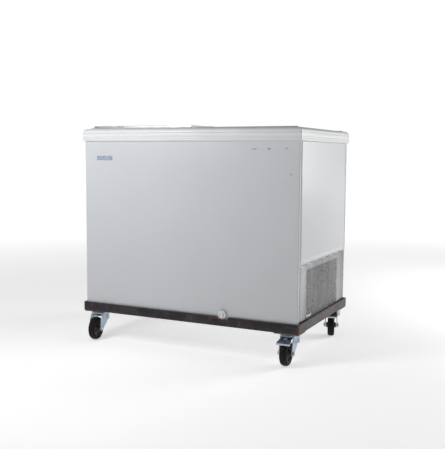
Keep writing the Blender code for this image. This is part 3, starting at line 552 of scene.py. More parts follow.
BLACK = ramped_material(
    "black_paint", (26, 6, 0.65),
    [(0.4, (0.022, 0.022, 0.0231)), (0.65, (0.0572,) * 3), (0.85, (0.16, 0.15, 0.14))],
    (0.35, 0.75, 0.28, 0.7), (180, 3, 0.0001, 0.4)), "black_paint"
BLACK_PLASTIC = plastic_look("black_plastic", (0.03, 0.03, 0.032), 0.4, (0.12, 0.11, 0.1))
CREAM = plastic_look("cream_plastic", (0.78, 0.7, 0.5), 0.5, (0.3, 0.27, 0.22))
WHITE_PLASTIC = plastic_look("white_plastic", (0.83, 0.84, 0.85), 0.4, (0.55, 0.54, 0.52))
LINER = liner_material(), "liner"
FOAM = foam_material(), "foam"
GLASS = glass_material(), "glass"
BADGE = clouded_material(
    "blank_badge", (55, 3, 0.5), (0.35, 0.7), ((0.32, 0.37, 0.48), (0.37, 0.42, 0.53)),
    (0.3, 0.8, 0.24, 0.38), (900, 2, 0.00002, 0.3), Metallic=0.2), "badge"
WELD = ramped_material(
    "weld_bead", (110, 5, 0.7),
    [(0.3, (0.03, 0.028, 0.036)), (0.5, (0.12, 0.055, 0.035)), (0.68, (0.25, 0.1, 0.045)),
     (0.85, (0.16, 0.15, 0.15))],
    (0.3, 0.8, 0.45, 0.85), (400, 3, 0.0003, 0.5), Metallic=0.4), "mill_scale"


# ---------------------------------------------------------------- mesh helpers

def add(name, bm, look, stands_for=None, body="cabinet", smooth=35, recalc=True):
    """Turns a bmesh into a piece that rides on a body and may stand for a CAD node."""
    if recalc:
        bmesh.ops.recalc_face_normals(bm, faces=bm.faces)
    material, usual_slot = look
    mesh = bpy.data.meshes.new(name)
    bm.to_mesh(mesh)
    bm.free()
    mesh.materials.append(material)
    obj = new_object(name, mesh)
    if smooth:
        shade(obj, smooth)
    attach(obj, body)
    if stands_for:
        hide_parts(stands_for)
    return obj


def shade(obj, angle):
    obj.data.shade_smooth()
    obj.data.set_sharp_from_angle(angle=radians(angle))


def thicken(obj, thickness, even=True):
    """Gives a sheet its thickness, inwards."""
    solid = obj.modifiers.new("thickness", "SOLIDIFY")
    solid.thickness = thickness
    solid.offset = -1
    solid.use_even_offset = even


def bevel(obj, width, segments=2, angle=35):
    modifier = obj.modifiers.new("edges", "BEVEL")
    modifier.width = width
    modifier.segments = segments
    modifier.limit_method = "ANGLE"
    modifier.angle_limit = radians(angle)
    modifier.harden_normals = False


def box(bm, low, high, turn=None):
    """Adds a box to bm."""
    low, high = Vector(low), Vector(high)
    place = Matrix.Translation((low + high) / 2) @ Matrix.Diagonal((*(high - low), 1.0))
    made = bmesh.ops.create_cube(bm, size=1.0, matrix=place)
    if turn is not None:
        bmesh.ops.transform(bm, matrix=turn, verts=made["verts"])


def facing(centre, axis):
    """Turns +Z to the axis and moves the origin to the centre."""
    return Matrix.Translation(centre) @ Vector(axis).to_track_quat("Z", "Y").to_matrix().to_4x4()


def rod(bm, start, end, radius, sides=24, radius_end=None):
    """Adds a closed cylinder or cone to bm."""
    start, end = Vector(start), Vector(end)
    bmesh.ops.create_cone(bm, cap_ends=True, segments=sides, radius1=radius,
                          radius2=radius if radius_end is None else radius_end,
                          depth=(end - start).length, matrix=facing((start + end) / 2, end - start))


def lathe(bm, profile, centre, axis, sides=48):
    """Adds a closed profile of (radius, height) points, turned about axis through centre."""
    place = facing(centre, axis)
    rings = []
    for index in range(sides):
        angle = 2 * pi * index / sides
        rings.append([bm.verts.new(place @ Vector((r * cos(angle), r * sin(angle), h))) for r, h in profile])
    count = len(profile)
    for index in range(sides):
        here, there = rings[index], rings[(index + 1) % sides]
        for step in range(count):
            nxt = (step + 1) % count
            bm.faces.new((here[step], there[step], there[nxt], here[nxt]))
    bmesh.ops.remove_doubles(bm, verts=[v for ring in rings for v in ring], dist=1e-7)


def prism(bm, outline, start, end, place):
    """Adds a flat outline of (a, b) points, extruded; place(a, b, along) gives each point."""
    first = [bm.verts.new(place(a, b, start)) for a, b in outline]
    last = [bm.verts.new(place(a, b, end)) for a, b in outline]
    bm.faces.new(first)
    bm.faces.new(last)
    for index in range(len(outline)):
        nxt = (index + 1) % len(outline)
        bm.faces.new((first[index], first[nxt], last[nxt], last[index]))
    return first + last


def along_x(a, b, x):
    return Vector((x, a, b))


def along_y(a, b, y):
    return Vector((a, y, b))


def along_z(a, b, z):
    return Vector((a, b, z))


def arc(cx, cy, radius, start, end, steps):
    points = []
    for index in range(steps + 1):
        angle = radians(start + (end - start) * index / steps)
        points.append((cx + radius * cos(angle), cy + radius * sin(angle)))
    return points


def rounded(x0, y0, x1, y1, radius, steps=5):
    """The outline of a rectangle with rounded corners."""
    r = radius
    return (arc(x1 - r, y0 + r, r, -90, 0, steps) + arc(x1 - r, y1 - r, r, 0, 90, steps)
            + arc(x0 + r, y1 - r, r, 90, 180, steps) + arc(x0 + r, y0 + r, r, 180, 270, steps))


def bridge_rings(bm, rings, caps=True):
    """Joins rings of vertices into a skin."""
    count = len(rings[0])
    for here, there in zip(rings, rings[1:]):
        for index in range(count):
            nxt = (index + 1) % count
            bm.faces.new((here[index], here[nxt], there[nxt], there[index]))
    if caps:
        bm.faces.new(rings[0])
        bm.faces.new(rings[-1])


def tube(bm, points, radius, sides=12):
    """Adds a round bar along the points, without twist. The radius may be a function of the way along."""
    points = [Vector(p) for p in points]
    side = None
    rings = []
    last = len(points) - 1
    for index, point in enumerate(points):
        ahead = (points[min(index + 1, last)] - points[max(index - 1, 0)]).normalized()
        if side is None:
            side = ahead.orthogonal().normalized()
        side = (side - ahead * side.dot(ahead)).normalized()
        other = ahead.cross(side)
        size = radius(index / last) if callable(radius) else radius
        rings.append([bm.verts.new(point + size * (cos(a) * side + sin(a) * other))
                      for a in (2 * pi * k / sides for k in range(sides))])
    bridge_rings(bm, rings)


def cut(obj, bm, operation="DIFFERENCE"):
    """Applies a boolean with the shape in bm to a piece at once."""
    bmesh.ops.recalc_face_normals(bm, faces=bm.faces)
    tool = bpy.data.meshes.new("tool")
    bm.to_mesh(tool)
    bm.free()
    other = new_object("tool", tool)
    modifier = obj.modifiers.new("cut", "BOOLEAN")
    modifier.operation = operation
    modifier.object = other
    modifier.solver = "EXACT"
    bpy.context.view_layer.update()
    depsgraph = bpy.context.evaluated_depsgraph_get()
    mesh = bpy.data.meshes.new_from_object(obj.evaluated_get(depsgraph), depsgraph=depsgraph)
    obj.modifiers.clear()
    material = obj.data.materials[0]
    obj.data = mesh
    mesh.materials.clear()
    mesh.materials.append(material)
    bpy.data.objects.remove(other, do_unlink=True)


def dress(look, *nodes):
    """Gives carried-over CAD nodes a look."""
    for node in nodes:
        slots = NODES[node].material_slots
        if not slots:
            NODES[node].data.materials.append(look[0])
        for entry in NODES[node].material_slots:
            entry.material = look[0]


def four_sides(half_x, half_y):
    """A rectangle's sides: half length, distance from the middle, and turn in degrees."""
    return {"front": (half_x, half_y, 0), "right": (half_y, half_x, 90), "back": (half_x, half_y, 180),
            "left": (half_y, half_x, 270)}


# ---------------------------------------------------------------- cabinet

def between(start, end, share):
    return start[0] + (end[0] - start[0]) * share, start[1] + (end[1] - start[1]) * share


def subdivide(path, step):
    """Splits each stretch of an open path of (x, y) points into parts about step long."""
    points = []
    for start, end in zip(path, path[1:]):
        parts = max(1, round(hypot(end[0] - start[0], end[1] - start[1]) / step))
        points += [between(start, end, k / parts) for k in range(parts)]
    return points + [path[-1]]


def panel_shell(node, path, low, cell, shape, look=PAINT):
    """A sheet on a path of (x, y) points: a grid that shape(point) pushes about, thickened inwards."""
    bm = bmesh.new()
    stations = subdivide(path, cell)
    count = max(1, round((WALL_TOP - low) / cell))
    grid = []
    for k in range(count + 1):
        z = low + (WALL_TOP - low) * k / count
        grid.append([bm.verts.new(shape(Vector((x, y, z)))) for x, y in stations])
    for lower, upper in zip(grid, grid[1:]):
        for index in range(len(stations) - 1):
            bm.faces.new((lower[index], lower[index + 1], upper[index + 1], upper[index]))
    sheet = add(node + "_sheet", bm, look, node, smooth=30, recalc=False)
    thicken(sheet, SHEET)
    return sheet


def wrapped_path(side):
    near = HALF_Y - CORNER_R
    wide = HALF_X - CORNER_R
    path = [(-HALF_X, -HALF_Y + WRAP)]
    path += arc(-wide, -near, CORNER_R, 180, 270, 6)
    path += arc(wide, -near, CORNER_R, 270, 360, 6)
    path += [(HALF_X, -HALF_Y + WRAP)]
    if side > 0:
        path = [(-x, -y) for x, y in path]
    return path


def front_shape(point):
    """The front's dents and the faint bow of foamed sheet."""
    if point.y > -HALF_Y + 0.0005:
        return point
    depth = 0.00022 * (noise.noise(Vector((point.x * 3.1, 0.3, point.z * 3.7))) + 1)
    for x, z, radius, deep in DENTS:
        away = ((point.x - x) ** 2 + (point.z - z) ** 2) / radius ** 2
        depth += deep * exp(-1.8 * away)
    edge = min(point.x + HALF_X - CORNER_R, HALF_X - CORNER_R - point.x, point.z - BASE_Z, WALL_TOP - point.z)
    fade = min(1.0, max(0.0, edge / 0.02))
    return point + Vector((0, depth * fade, 0))


def side_shape(point):
    """The faint bow of a side panel, a little different on each side."""
    sign = 1 if point.x > 0 else -1
    wave = 0.0002 * (noise.noise(Vector((point.y * 3.0, 1.5 - 0.5 * sign, point.z * 3.3))) + 1)
    edge = min(0.3 - abs(point.y), point.z - BASE_Z, WALL_TOP - point.z)
    return point - Vector((sign * wave * min(1.0, max(0.0, edge / 0.03)), 0, 0))


def back_shape(point):
    """The faint bow of the back panel."""
    wave = 0.0002 * (noise.noise(Vector((point.x * 3.0, 4.0, point.z * 3.3))) + 1)
    edge = min(0.49 - abs(point.x), point.z - BASE_Z, WALL_TOP - point.z)
    sign = 1 if point.y > 0 else -1
    return point - Vector((0, sign * wave * min(1.0, max(0.0, edge / 0.03)), 0))


def make_panels():
    front = panel_shell("front_panel", wrapped_path(-1), BASE_Z, FINE_CELL, front_shape, FRONT_PAINT)
    hole = bmesh.new()
    rod(hole, (DRAIN_X, -HALF_Y - 0.01, DRAIN_Z), (DRAIN_X, -HALF_Y + 0.01, DRAIN_Z), DRAIN_HOLE_R, 32)
    cut(front, hole)
    back = panel_shell("back_panel", wrapped_path(1), BASE_Z, COARSE_CELL, back_shape)
    bay = bmesh.new()
    box(bay, (BAY_X, HALF_Y - 0.05, 0.0), (1.0, 1.0, BAY_TOP))
    cut(back, bay)
    side = HALF_Y - WRAP - 0.0015
    panel_shell("left_panel", [(-HALF_X, side), (-HALF_X, -side)], BASE_Z, COARSE_CELL, side_shape)
    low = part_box("right_panel")[0].z
    panel_shell("right_panel", [(HALF_X, -side), (HALF_X, side)], low, COARSE_CELL, side_shape)
    dress(GALVANISED, "base_tray")
    dress(FOAM, "foam_left", "foam_right", "foam_front", "foam_back", "foam_floor")


def rim_profile():
    """The rim's section as (outward, z): lip, two fine ribs, a groove, a rounded shoulder and a flat top."""
    points = [(0.0004, WALL_TOP + GAP), (0.0004, RIM_BOTTOM + 0.0002)]
    points += [(RIM_OUT - 0.0012, RIM_BOTTOM), (RIM_OUT - 0.0003, RIM_BOTTOM + 0.0003),
               (RIM_OUT, RIM_BOTTOM + 0.0011)]
    for z in RIM_RIBS:
        points += [(RIM_OUT, z - 0.0009), (RIM_OUT - 0.0002, z - 0.0005), (RIM_OUT - 0.0009, z),
                   (RIM_OUT - 0.0002, z + 0.0005), (RIM_OUT, z + 0.0009)]
    points += [(RIM_OUT, 0.9186), (RIM_OUT - 0.0003, 0.9194), (RIM_OUT - 0.0017, 0.9199),
               (RIM_OUT - 0.0017, 0.9208), (RIM_OUT - 0.0003, 0.9213), (RIM_OUT, 0.9219)]
    shoulder = 0.0175
    points += arc(RIM_OUT - shoulder, RIM_TOP - shoulder, shoulder, 6, 90, 12)
    points += [(-RIM_IN, RIM_TOP), (-RIM_IN, WALL_TOP + GAP)]
    return points


def mitred(bm, section, half_len, face, turn, trim=GAP / 2, steps=1):
    """Adds a bar with its ends cut at 45 degrees. Section points are (outward, z)."""
    spin = Matrix.Rotation(radians(turn), 4, "Z")
    rings = []
    for index in range(steps + 1):
        t = 2 * index / steps - 1
        rings.append([bm.verts.new(spin @ Vector((t * (half_len + outward - trim), -(face + outward), z)))
                      for outward, z in section])
    bridge_rings(bm, rings)


def make_rim():
    section = rim_profile()
    shelf_y = HALF_Y - WALL - GAP
    for side, (half_len, face, turn) in four_sides(HALF_X, HALF_Y).items():
        bm = bmesh.new()
        mitred(bm, section, half_len, face, turn)
        if side in ("left", "right"):
            sign = -1 if side == "left" else 1
            near, far = sorted((sign * (HALF_X - WALL), sign * (HALF_X - RIM_IN + 0.004)))
            box(bm, (near, -shelf_y, WALL_TOP + GAP), (far, shelf_y, LOWER_LEDGE - 0.0005))
        add("rim_" + side + "_moulding", bm, RIM, "rim_" + side, smooth=40)
    # Moulded caps over the four corner joints, following the rim's face.
    cap = [(outward + 0.0005, z) for outward, z in section[2:-2]]
    inner = [(outward - 0.0009, z) for outward, z in reversed(cap)]
    for corner, (sx, sy) in CORNERS.items():
        bm = bmesh.new()
        rings = []
        for step in range(9):
            rings.append([bm.verts.new(corner_point(step, outward, z, sx, sy)) for outward, z in cap + inner])
        bridge_rings(bm, rings)
        add("rim_corner_" + corner, bm, RIM, smooth=45)


def corner_point(step, outward, z, sx, sy):
    """A point on a rounded corner: steps 0 and 8 are the cap's ends, 1 to 7 go round the corner."""
    reach, radius = 0.0145, 0.003
    cx, cy = HALF_X + outward - radius, HALF_Y + outward - radius
    if step == 0:
        x, y = HALF_X - reach, HALF_Y + outward
    elif step == 8:
        x, y = HALF_X + outward, HALF_Y - reach
    else:
        angle = radians(90 - 15 * (step - 1))
        x, y = cx + radius * cos(angle), cy + radius * sin(angle)
    return Vector((sx * x, sy * y, z))


def make_tracks():
    """The lid tracks: a fence and two ledges, with small drain lips."""
    length = HALF_X - RIM_IN - GAP
    start = -RIM_IN - GAP
    section = [(start, WALL_TOP + GAP), (start, FENCE_TOP - 0.0006), (start - 0.0006, FENCE_TOP),
               (start - 0.0034, FENCE_TOP), (start - 0.004, FENCE_TOP - 0.0006), (start - 0.004, UPPER_LEDGE),
               (-0.0355, UPPER_LEDGE), (-0.036, UPPER_LEDGE - 0.0005), (-0.036, LOWER_LEDGE + 0.0006),
               (-0.0366, LOWER_LEDGE), (-WALL + 0.0012, LOWER_LEDGE), (-WALL, LOWER_LEDGE - 0.001),
               (-WALL, WALL_TOP + GAP)]
    for name, sign in (("front", -1), ("back", 1)):
        bm = bmesh.new()
        prism(bm, [(sign * (HALF_Y + outward), z) for outward, z in section], -length, length, along_x)
        add("track_" + name + "_rail", bm, GREY, "track_" + name, smooth=30)


def make_badge():
    """A plain plate with a thin raised border."""
    low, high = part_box("name_badge")
    radius, border, rise = 0.002, 0.0012, 0.0006
    outline = rounded(low.x, low.z, high.x, high.z, radius, 4)
    inner = rounded(low.x + border, low.z + border, high.x - border, high.z - border, border, 4)
    bm = bmesh.new()
    prism(bm, outline, low.y + 0.0005, high.y, along_y)
    loops = [[bm.verts.new((a, y, b)) for a, b in path]
             for path, y in ((outline, low.y), (inner, low.y), (inner, low.y + rise),
                             (outline, low.y + rise))]
    bridge_rings(bm, loops + loops[:1], caps=False)
    add("badge_plate", bm, BADGE, "name_badge", smooth=30)


# ---------------------------------------------------------------- vent grille and rear cover

def grille_holes(start_y):
    """Centres of the staggered holes, and the field (s low, s high, z low, z high) that they fill."""
    field = (-0.212 - start_y, 0.2 - start_y, 0.1485, 0.3725)
    holes = []
    row = 0
    z = field[2]
    while z <= field[3]:
        s = field[0] + (HOLE_PITCH_S / 2 if row % 2 else 0)
        while s <= field[1]:
            holes.append((s, z))
            s += HOLE_PITCH_S
        z += HOLE_PITCH_Z
        row += 1
    return holes, field


def make_grille():
    """Perforated sheet: laid out flat as (s, z), with its holes cut, then bent round the back corner."""
    start_y = GRILLE_LOW.y
    bend_at = GRILLE_HIGH.y - FOLD_R - start_y
    total = bend_at + FOLD_R * pi / 2 + 0.004
    low, high = GRILLE_LOW.z, GRILLE_HIGH.z
    corner = 0.017
    outline = [(0.0, low), (total, low)]
    outline += arc(total - corner, high - corner, corner, 0, 90, 8)
    outline += [(0.002, high), (0.0, high - 0.002), (0.0, low)]
    points = subdivide(outline, 0.012)[:-1]
    faces = [list(range(len(points)))]
    holes, field = grille_holes(start_y)
    for cs, cz in holes:
        faces.append(list(range(len(points), len(points) + 8)))
        points += [(cs + HOLE_R * cos(a), cz + HOLE_R * sin(a))
                   for a in (pi / 8 + pi / 4 * k for k in range(8))]
    # More points in the plain margins, closer together at the bend.
    margin = 0.007
    s = 0.01
    while s < total - 0.003:
        z = low + 0.006
        while z < high - 0.004:
            if not (field[0] - margin < s < field[1] + margin and field[2] - margin < z < field[3] + margin):
                points.append((s, z))
            z += 0.01
        s += 0.008 if s < bend_at - 0.008 else 0.0022
    flat, _, tris, _, _, origin = delaunay_2d_cdt([Vector(p) for p in points], [], faces, 0, 1e-7)
    bm = bmesh.new()
    verts = [bm.verts.new(grille_point(s, z, bend_at)) for s, z in flat]
    for tri, source in zip(tris, origin):
        if list(source) == [0]:
            bm.faces.new([verts[i] for i in tri])
    bmesh.ops.delete(bm, geom=[v for v in bm.verts if not v.link_faces], context="VERTS")
    bmesh.ops.recalc_face_normals(bm, faces=bm.faces)
    if sum(f.normal.x for f in bm.faces) < 0:
        bmesh.ops.reverse_faces(bm, faces=bm.faces)
    sheet = add("vent_grille_sheet", bm, GRILLE, "side_grille", smooth=40, recalc=False)
    thicken(sheet, 0.001, even=False)
    make_grille_tape()


def grille_point(s, z, bend_at):
    """Where the flat sheet's (s, z) ends up: wavy along the side, then round the fold and along the back."""
    face_x, back_y = GRILLE_HIGH.x, GRILLE_HIGH.y
    bend_len = FOLD_R * pi / 2
    if s <= bend_at:
        fade = min(1.0, (bend_at - s) / 0.03)
        wave = 0.0011 * noise.noise(Vector((s * 13.0, 5.0, z * 9.0))) - 0.0006
        top = max(0.0, 1 - (GRILLE_HIGH.z - z) / 0.03)
        wave += 0.001 * top * sin(s * 62.0)
        return (face_x + wave * fade, GRILLE_LOW.y + s, z)
    if s <= bend_at + bend_len:
        angle = (s - bend_at) / FOLD_R
        return (face_x - FOLD_R + FOLD_R * cos(angle), back_y - FOLD_R + FOLD_R * sin(angle), z)
    return (face_x - FOLD_R - (s - bend_at - bend_len), back_y, z)


def make_grille_tape():
    """A short plain white strip stuck across the grille's lower front corner."""
    wide, thick = 0.0065, 0.0004
    bm = bmesh.new()
    rings = []
    for k in range(9):
        y = -0.213 + 0.062 * k / 8
        x = GRILLE_HIGH.x + (0.0006 + 0.0004 * sin(k * 1.3))
        z = 0.1775 + 0.0012 * sin(k * 0.9)
        rings.append([bm.verts.new(p) for p in ((x, y, z), (x, y, z + wide), (x - thick, y, z + wide),
                                                (x - thick, y, z))])
    bridge_rings(bm, rings)
    add("grille_tape", bm, WHITE_PLASTIC, smooth=30)


def make_rear_cover():
    low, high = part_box("rear_cover")
    bm = bmesh.new()
    box(bm, low, high)
    cover = add("rear_cover_sheet", bm, GALVANISED, "rear_cover", smooth=30)
    slots, louvres, screws = bmesh.new(), bmesh.new(), bmesh.new()
    for row in range(6):
        z = 0.18 + row * 0.016
        prism(slots, rounded(0.3, z, 0.45, z + 0.006, 0.0029, 5), low.y - 0.01, high.y + 0.01, along_y)
        hood(louvres, 0.299, 0.451, z + 0.006, high.y)
    cut(cover, slots)
    bevel(cover, 0.0003, 1)
    add("rear_cover_louvres", louvres, GALVANISED, smooth=40)
    for x in (low.x + 0.008, 0.375, high.x - 0.008):
        for z in (low.z + 0.008, high.z - 0.008):
            if z > 0.16:
                screw(screws, (x, high.y, z), (0, 1, 0))
    add("rear_cover_screws", screws, ZINC, smooth=30)


def hood(bm, x0, x1, z, y):
    """A louvre: a curved lip standing out of the sheet above its slot and closed at both ends."""
    reach, tall = 0.0048, 0.0066
    section = [(0.0, 0.0016), (reach * 0.45, 0.0006), (reach * 0.85, -0.0022), (reach, -tall),
               (reach - 0.0007, -tall), (reach * 0.72, -0.0026), (reach * 0.35, -0.0002), (0.0, 0.0008)]
    rings = []
    count = 14
    for k in range(count + 1):
        t = k / count
        end = min(t, 1 - t) * count / 1.6
        size = min(1.0, max(0.12, end)) ** 0.5
        x = x0 + (x1 - x0) * t
        rings.append([bm.verts.new((x, y + a * size, z + b * size)) for a, b in section])
    bridge_rings(bm, rings)


def screw(bm, place, axis, radius=0.0042):
    """A domed screw head."""
    profile = [(0, 0), (radius, 0), (radius * 0.96, 0.0006), (radius * 0.72, 0.0017), (radius * 0.35, 0.0022),
               (0, 0.0023)]
    lathe(bm, profile, place, axis, 20)


# ---------------------------------------------------------------- tank

def make_liner():
    """The tank's sheet, with rounded upright corners and a raised step at the right."""
    low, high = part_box("inner_liner")
    x0, x1 = low.x + SKIN, high.x - SKIN
    y1 = high.y - SKIN
    floor, step, step_x = 0.198, 0.4625, 0.21
    r = 0.014
    bm = bmesh.new()

    def wall(points, z_low, z_high):
        foot = [bm.verts.new((x, y, z_low)) for x, y in points]
        head = [bm.verts.new((x, y, z_high)) for x, y in points]
        for k in range(len(points)):
            n = (k + 1) % len(points)
            bm.faces.new((foot[n], foot[k], head[k], head[n]))
        return foot

    wall(rounded(x0, -y1, x1, y1, r, 6), step, WALL_TOP)
    bm.faces.new(wall(rounded(x0, -y1, step_x, y1, r, 6), floor, step))
    # The left ends of both outlines are the same, so their vertices merge. The step's top closes the rest.
    bmesh.ops.remove_doubles(bm, verts=bm.verts, dist=1e-6)
    bm.verts.ensure_lookup_table()
    bm.faces.new(step_loop(bm, step, step_x, x1, y1, r))
    bmesh.ops.recalc_face_normals(bm, faces=bm.faces)
    # Normals look into the tank.
    bottom = min(bm.faces, key=lambda f: f.calc_center_median().z)
    if bottom.normal.z < 0:
        bmesh.ops.reverse_faces(bm, faces=bm.faces)
    thicken(add("tank_liner", bm, LINER, "inner_liner", smooth=30, recalc=False), SHEET)
    dress(COPPER, "evaporator_coil")


def step_loop(bm, step, step_x, x1, y1, r):
    """The vertices round the step's top: the lower outline's right end, then the upper one's, backwards."""
    level = [v for v in bm.verts if abs(v.co.z - step) < 1e-6]
    points = arc(step_x - r, -y1 + r, r, -90, 0, 6) + arc(step_x - r, y1 - r, r, 0, 90, 6)
    points += reversed(arc(x1 - r, -y1 + r, r, -90, 0, 6) + arc(x1 - r, y1 - r, r, 0, 90, 6))
    loop = []
    for x, y in points:
        nearest = min(level, key=lambda v: (v.co.x - x) ** 2 + (v.co.y - y) ** 2)
        if nearest not in loop:
            loop.append(nearest)
    return loop


# ---------------------------------------------------------------- compressor bay

def make_compressor():
    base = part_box("compressor")[0].z
    r = 0.074
    profile = [(0, 0), (r * 0.72, 0)]
    profile += [(r * 0.72 + r * 0.24 * sin(radians(a)), 0.024 * (1 - cos(radians(a))))
                for a in (20, 40, 60, 80, 90)]
    profile += [(r * 0.975, 0.045), (r * 0.98, 0.0785), (r + 0.0015, 0.079), (r + 0.002, 0.0805),
                (r + 0.002, 0.085), (r + 0.0015, 0.0865), (r * 0.98, 0.087), (r * 0.97, 0.105)]
    profile += [(r * 0.97 * cos(radians(a)), 0.105 + 0.0565 * sin(radians(a)))
                for a in (15, 30, 45, 60, 72, 82)]
    profile += [(0, 0.162)]
    bm = bmesh.new()
    lathe(bm, profile, (POT_X, POT_Y, base), (0, 0, 1), 64)
    add("compressor_shell", bm, BLACK, "compressor", smooth=40)
    bm = bmesh.new()
    foot = BASE_Z + SKIN + 0.0034
    for x in (POT_X - 0.075, POT_X + 0.075):
        for y in (POT_Y - 0.066, POT_Y + 0.066):
            rod(bm, (x, y, foot), (x, y, foot + 0.005), 0.0065, 6)
            rod(bm, (x, y, foot + 0.005), (x, y, foot + 0.009), 0.0032, 12)
    add("compressor_mount_nuts", bm, ZINC, smooth=30)
    dress(BLACK, "compressor_base")
    low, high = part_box("terminal_cover")
    bm = bmesh.new()
    box(bm, low, high)
    bevel(add("terminal_cover_box", bm, CREAM, "terminal_cover", smooth=40), 0.005, 4)
    bm = bmesh.new()
    x, z = high.x, low.z + 0.034
    tube(bm, [(x - 0.0002, low.y + 0.004, z), (x + 0.0016, low.y + 0.01, z), (x + 0.0016, high.y - 0.01, z),
              (x - 0.0002, high.y - 0.004, z)], 0.0011, 8)
    add("terminal_cover_clip", bm, ZINC, smooth=40)


def make_condenser():
    low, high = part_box("condenser")
    fins, rows, inset_z, bore = 44, 9, 0.01, 0.003
    bm = bmesh.new()
    for k in range(fins):
        x = low.x + 0.009 + (high.x - low.x - 0.018) * k / (fins - 1)
        box(bm, (x - 0.0002, low.y + 0.0005, low.z + 0.004), (x + 0.0002, high.y - 0.0005, high.z - 0.004))
    for x in (low.x + 0.0012, high.x - 0.0012):
        box(bm, (x - 0.0012, low.y, low.z), (x + 0.0012, high.y, high.z))
    add("condenser_fins", bm, ALUMINIUM, "condenser", smooth=0)
    bm = bmesh.new()
    step = (high.z - low.z - 2 * inset_z) / (rows - 1)
    for y in (low.y + 0.01, high.y - 0.01):
        for k in range(rows):
            z = low.z + inset_z + step * k
            rod(bm, (low.x, y, z), (high.x, y, z), bore, 12)
            if k < rows - 1:
                x, sign = (low.x, -1) if k % 2 else (high.x, 1)
                tube(bm, [(x + sign * 0.0095 * sin(a), y, z + step / 2 - step / 2 * cos(a))
                          for a in (pi * j / 10 for j in range(11))], bore, 12)
    add("condenser_tubes", bm, COPPER, smooth=40)


def make_fan():
    low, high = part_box("fan_motor")
    centre = (FAN_X, low.y, FAN_Z)
    deep = high.y - low.y
    r = 0.046
    bm = bmesh.new()
    can = [(0, 0.006), (0.028, 0.006), (0.029, 0.0075), (r - 0.004, 0.0105), (r - 0.0012, 0.013), (r, 0.016),
           (r, 0.03), (r - 0.002, 0.0335), (r - 0.006, deep), (0, deep)]
    lathe(bm, can, centre, (0, 1, 0), 48)
    add("fan_motor_can", bm, BLACK, "fan_motor")
    # Bright end bell: a hub ring and ribs spread round the face, with open gaps between them.
    bm = bmesh.new()
    hub = [(0.0115, 0.0015), (0.013, 0.0), (0.0175, 0.0), (0.019, 0.0015), (0.019, 0.006), (0.0115, 0.006)]
    lathe(bm, hub, centre, (0, 1, 0), 40)
    pin = [(0, 0.0035), (0.007, 0.0035), (0.0085, 0.005), (0.0085, 0.0065), (0, 0.0065)]
    lathe(bm, pin, centre, (0, 1, 0), 24)
    for k in range(MOTOR_RIBS):
        spin = Matrix.Translation(centre) @ Matrix.Rotation(2 * pi * k / MOTOR_RIBS + 0.2, 4, "Y")
        for twist, width, start, end in ((0.0, 0.0048, 0.0285, 0.045), (0.3, 0.0026, 0.03, 0.0425),
                                         (-0.24, 0.002, 0.032, 0.044)):
            outline = rounded(start, -width / 2, end, width / 2, width * 0.45, 3)
            verts = prism(bm, outline, 0.0004 + abs(twist) * 0.004, 0.01, along_y)
            bmesh.ops.transform(bm, matrix=spin @ Matrix.Rotation(twist, 4, "Y"), verts=verts)
    bevel(add("fan_motor_end_bell", bm, BRIGHT), 0.0004, 2)
    low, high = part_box("fan_bracket")
    strap = [(low.y, low.z), (high.y, low.z), (high.y, high.z), (high.y - 0.003, high.z),
             (high.y - 0.003, low.z + 0.006), (high.y - 0.006, low.z + 0.003), (low.y, low.z + 0.003)]
    bm = bmesh.new()
    prism(bm, strap, low.x, high.x, along_x)
    bevel(add("fan_bracket_strap", bm, BRIGHT, "fan_bracket", smooth=30), 0.0005, 2)
    dress(GALVANISED, "fan_shroud")
    make_blades()


def make_blades():
    low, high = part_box("fan_blade")
    bm = bmesh.new()
    lathe(bm, [(0, 0), (0.016, 0), (0.018, 0.002), (0.018, 0.017), (0.0165, 0.019), (0, 0.019)],
          (FAN_X, low.y, FAN_Z), (0, 1, 0), 40)
    # A blade's section as (share of its half width, lift), front face and then back face.
    section = ((-1, 0.0005), (-0.5, 0.0013), (0, 0.0016), (0.5, 0.0013), (1, 0.0005),
               (1, -0.0005), (0.5, 0.0002), (0, 0.0005), (-0.5, 0.0002), (-1, -0.0005))
    root, tip = 0.0165, (high.z - low.z) / 2 - 0.001
    for k in range(FAN_BLADES):
        spin = (Matrix.Translation((FAN_X, (low.y + high.y) / 2, FAN_Z))
                @ Matrix.Rotation(2 * pi * k / FAN_BLADES, 4, "Y"))
        rows = []
        for j in range(7):
            t = j / 6
            half = 0.013 + 0.0065 * sin(pi * min(1, t * 1.15) * 0.8)
            tilt = radians(32 - 12 * t)
            reach = root + (tip - root) * t
            rows.append([bm.verts.new(spin @ Vector((reach, side * half * sin(tilt) * 0.62 + lift,
                                                     side * half * cos(tilt)))) for side, lift in section])
        bridge_rings(bm, rows)
    add("fan_wheel", bm, ALUMINIUM, "fan_blade", "fan", smooth=40)


def make_pipes():
    dress(COPPER, "discharge_tube", "suction_tube")
    low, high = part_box("filter_drier")
    x, y = (low.x + high.x) / 2, (low.y + high.y) / 2
    tall = high.z - low.z
    profile = [(0, 0), (0.0035, 0), (0.004, 0.004), (0.0062, 0.01), (0.0095, 0.015), (0.01, 0.018),
               (0.01, tall - 0.018), (0.0095, tall - 0.015), (0.0062, tall - 0.01), (0.004, tall - 0.004),
               (0.0035, tall), (0, tall)]
    bm = bmesh.new()
    lathe(bm, profile, (x, y, low.z), (0, 0, 1), 32)
    add("filter_drier_body", bm, COPPER, "filter_drier", smooth=40)


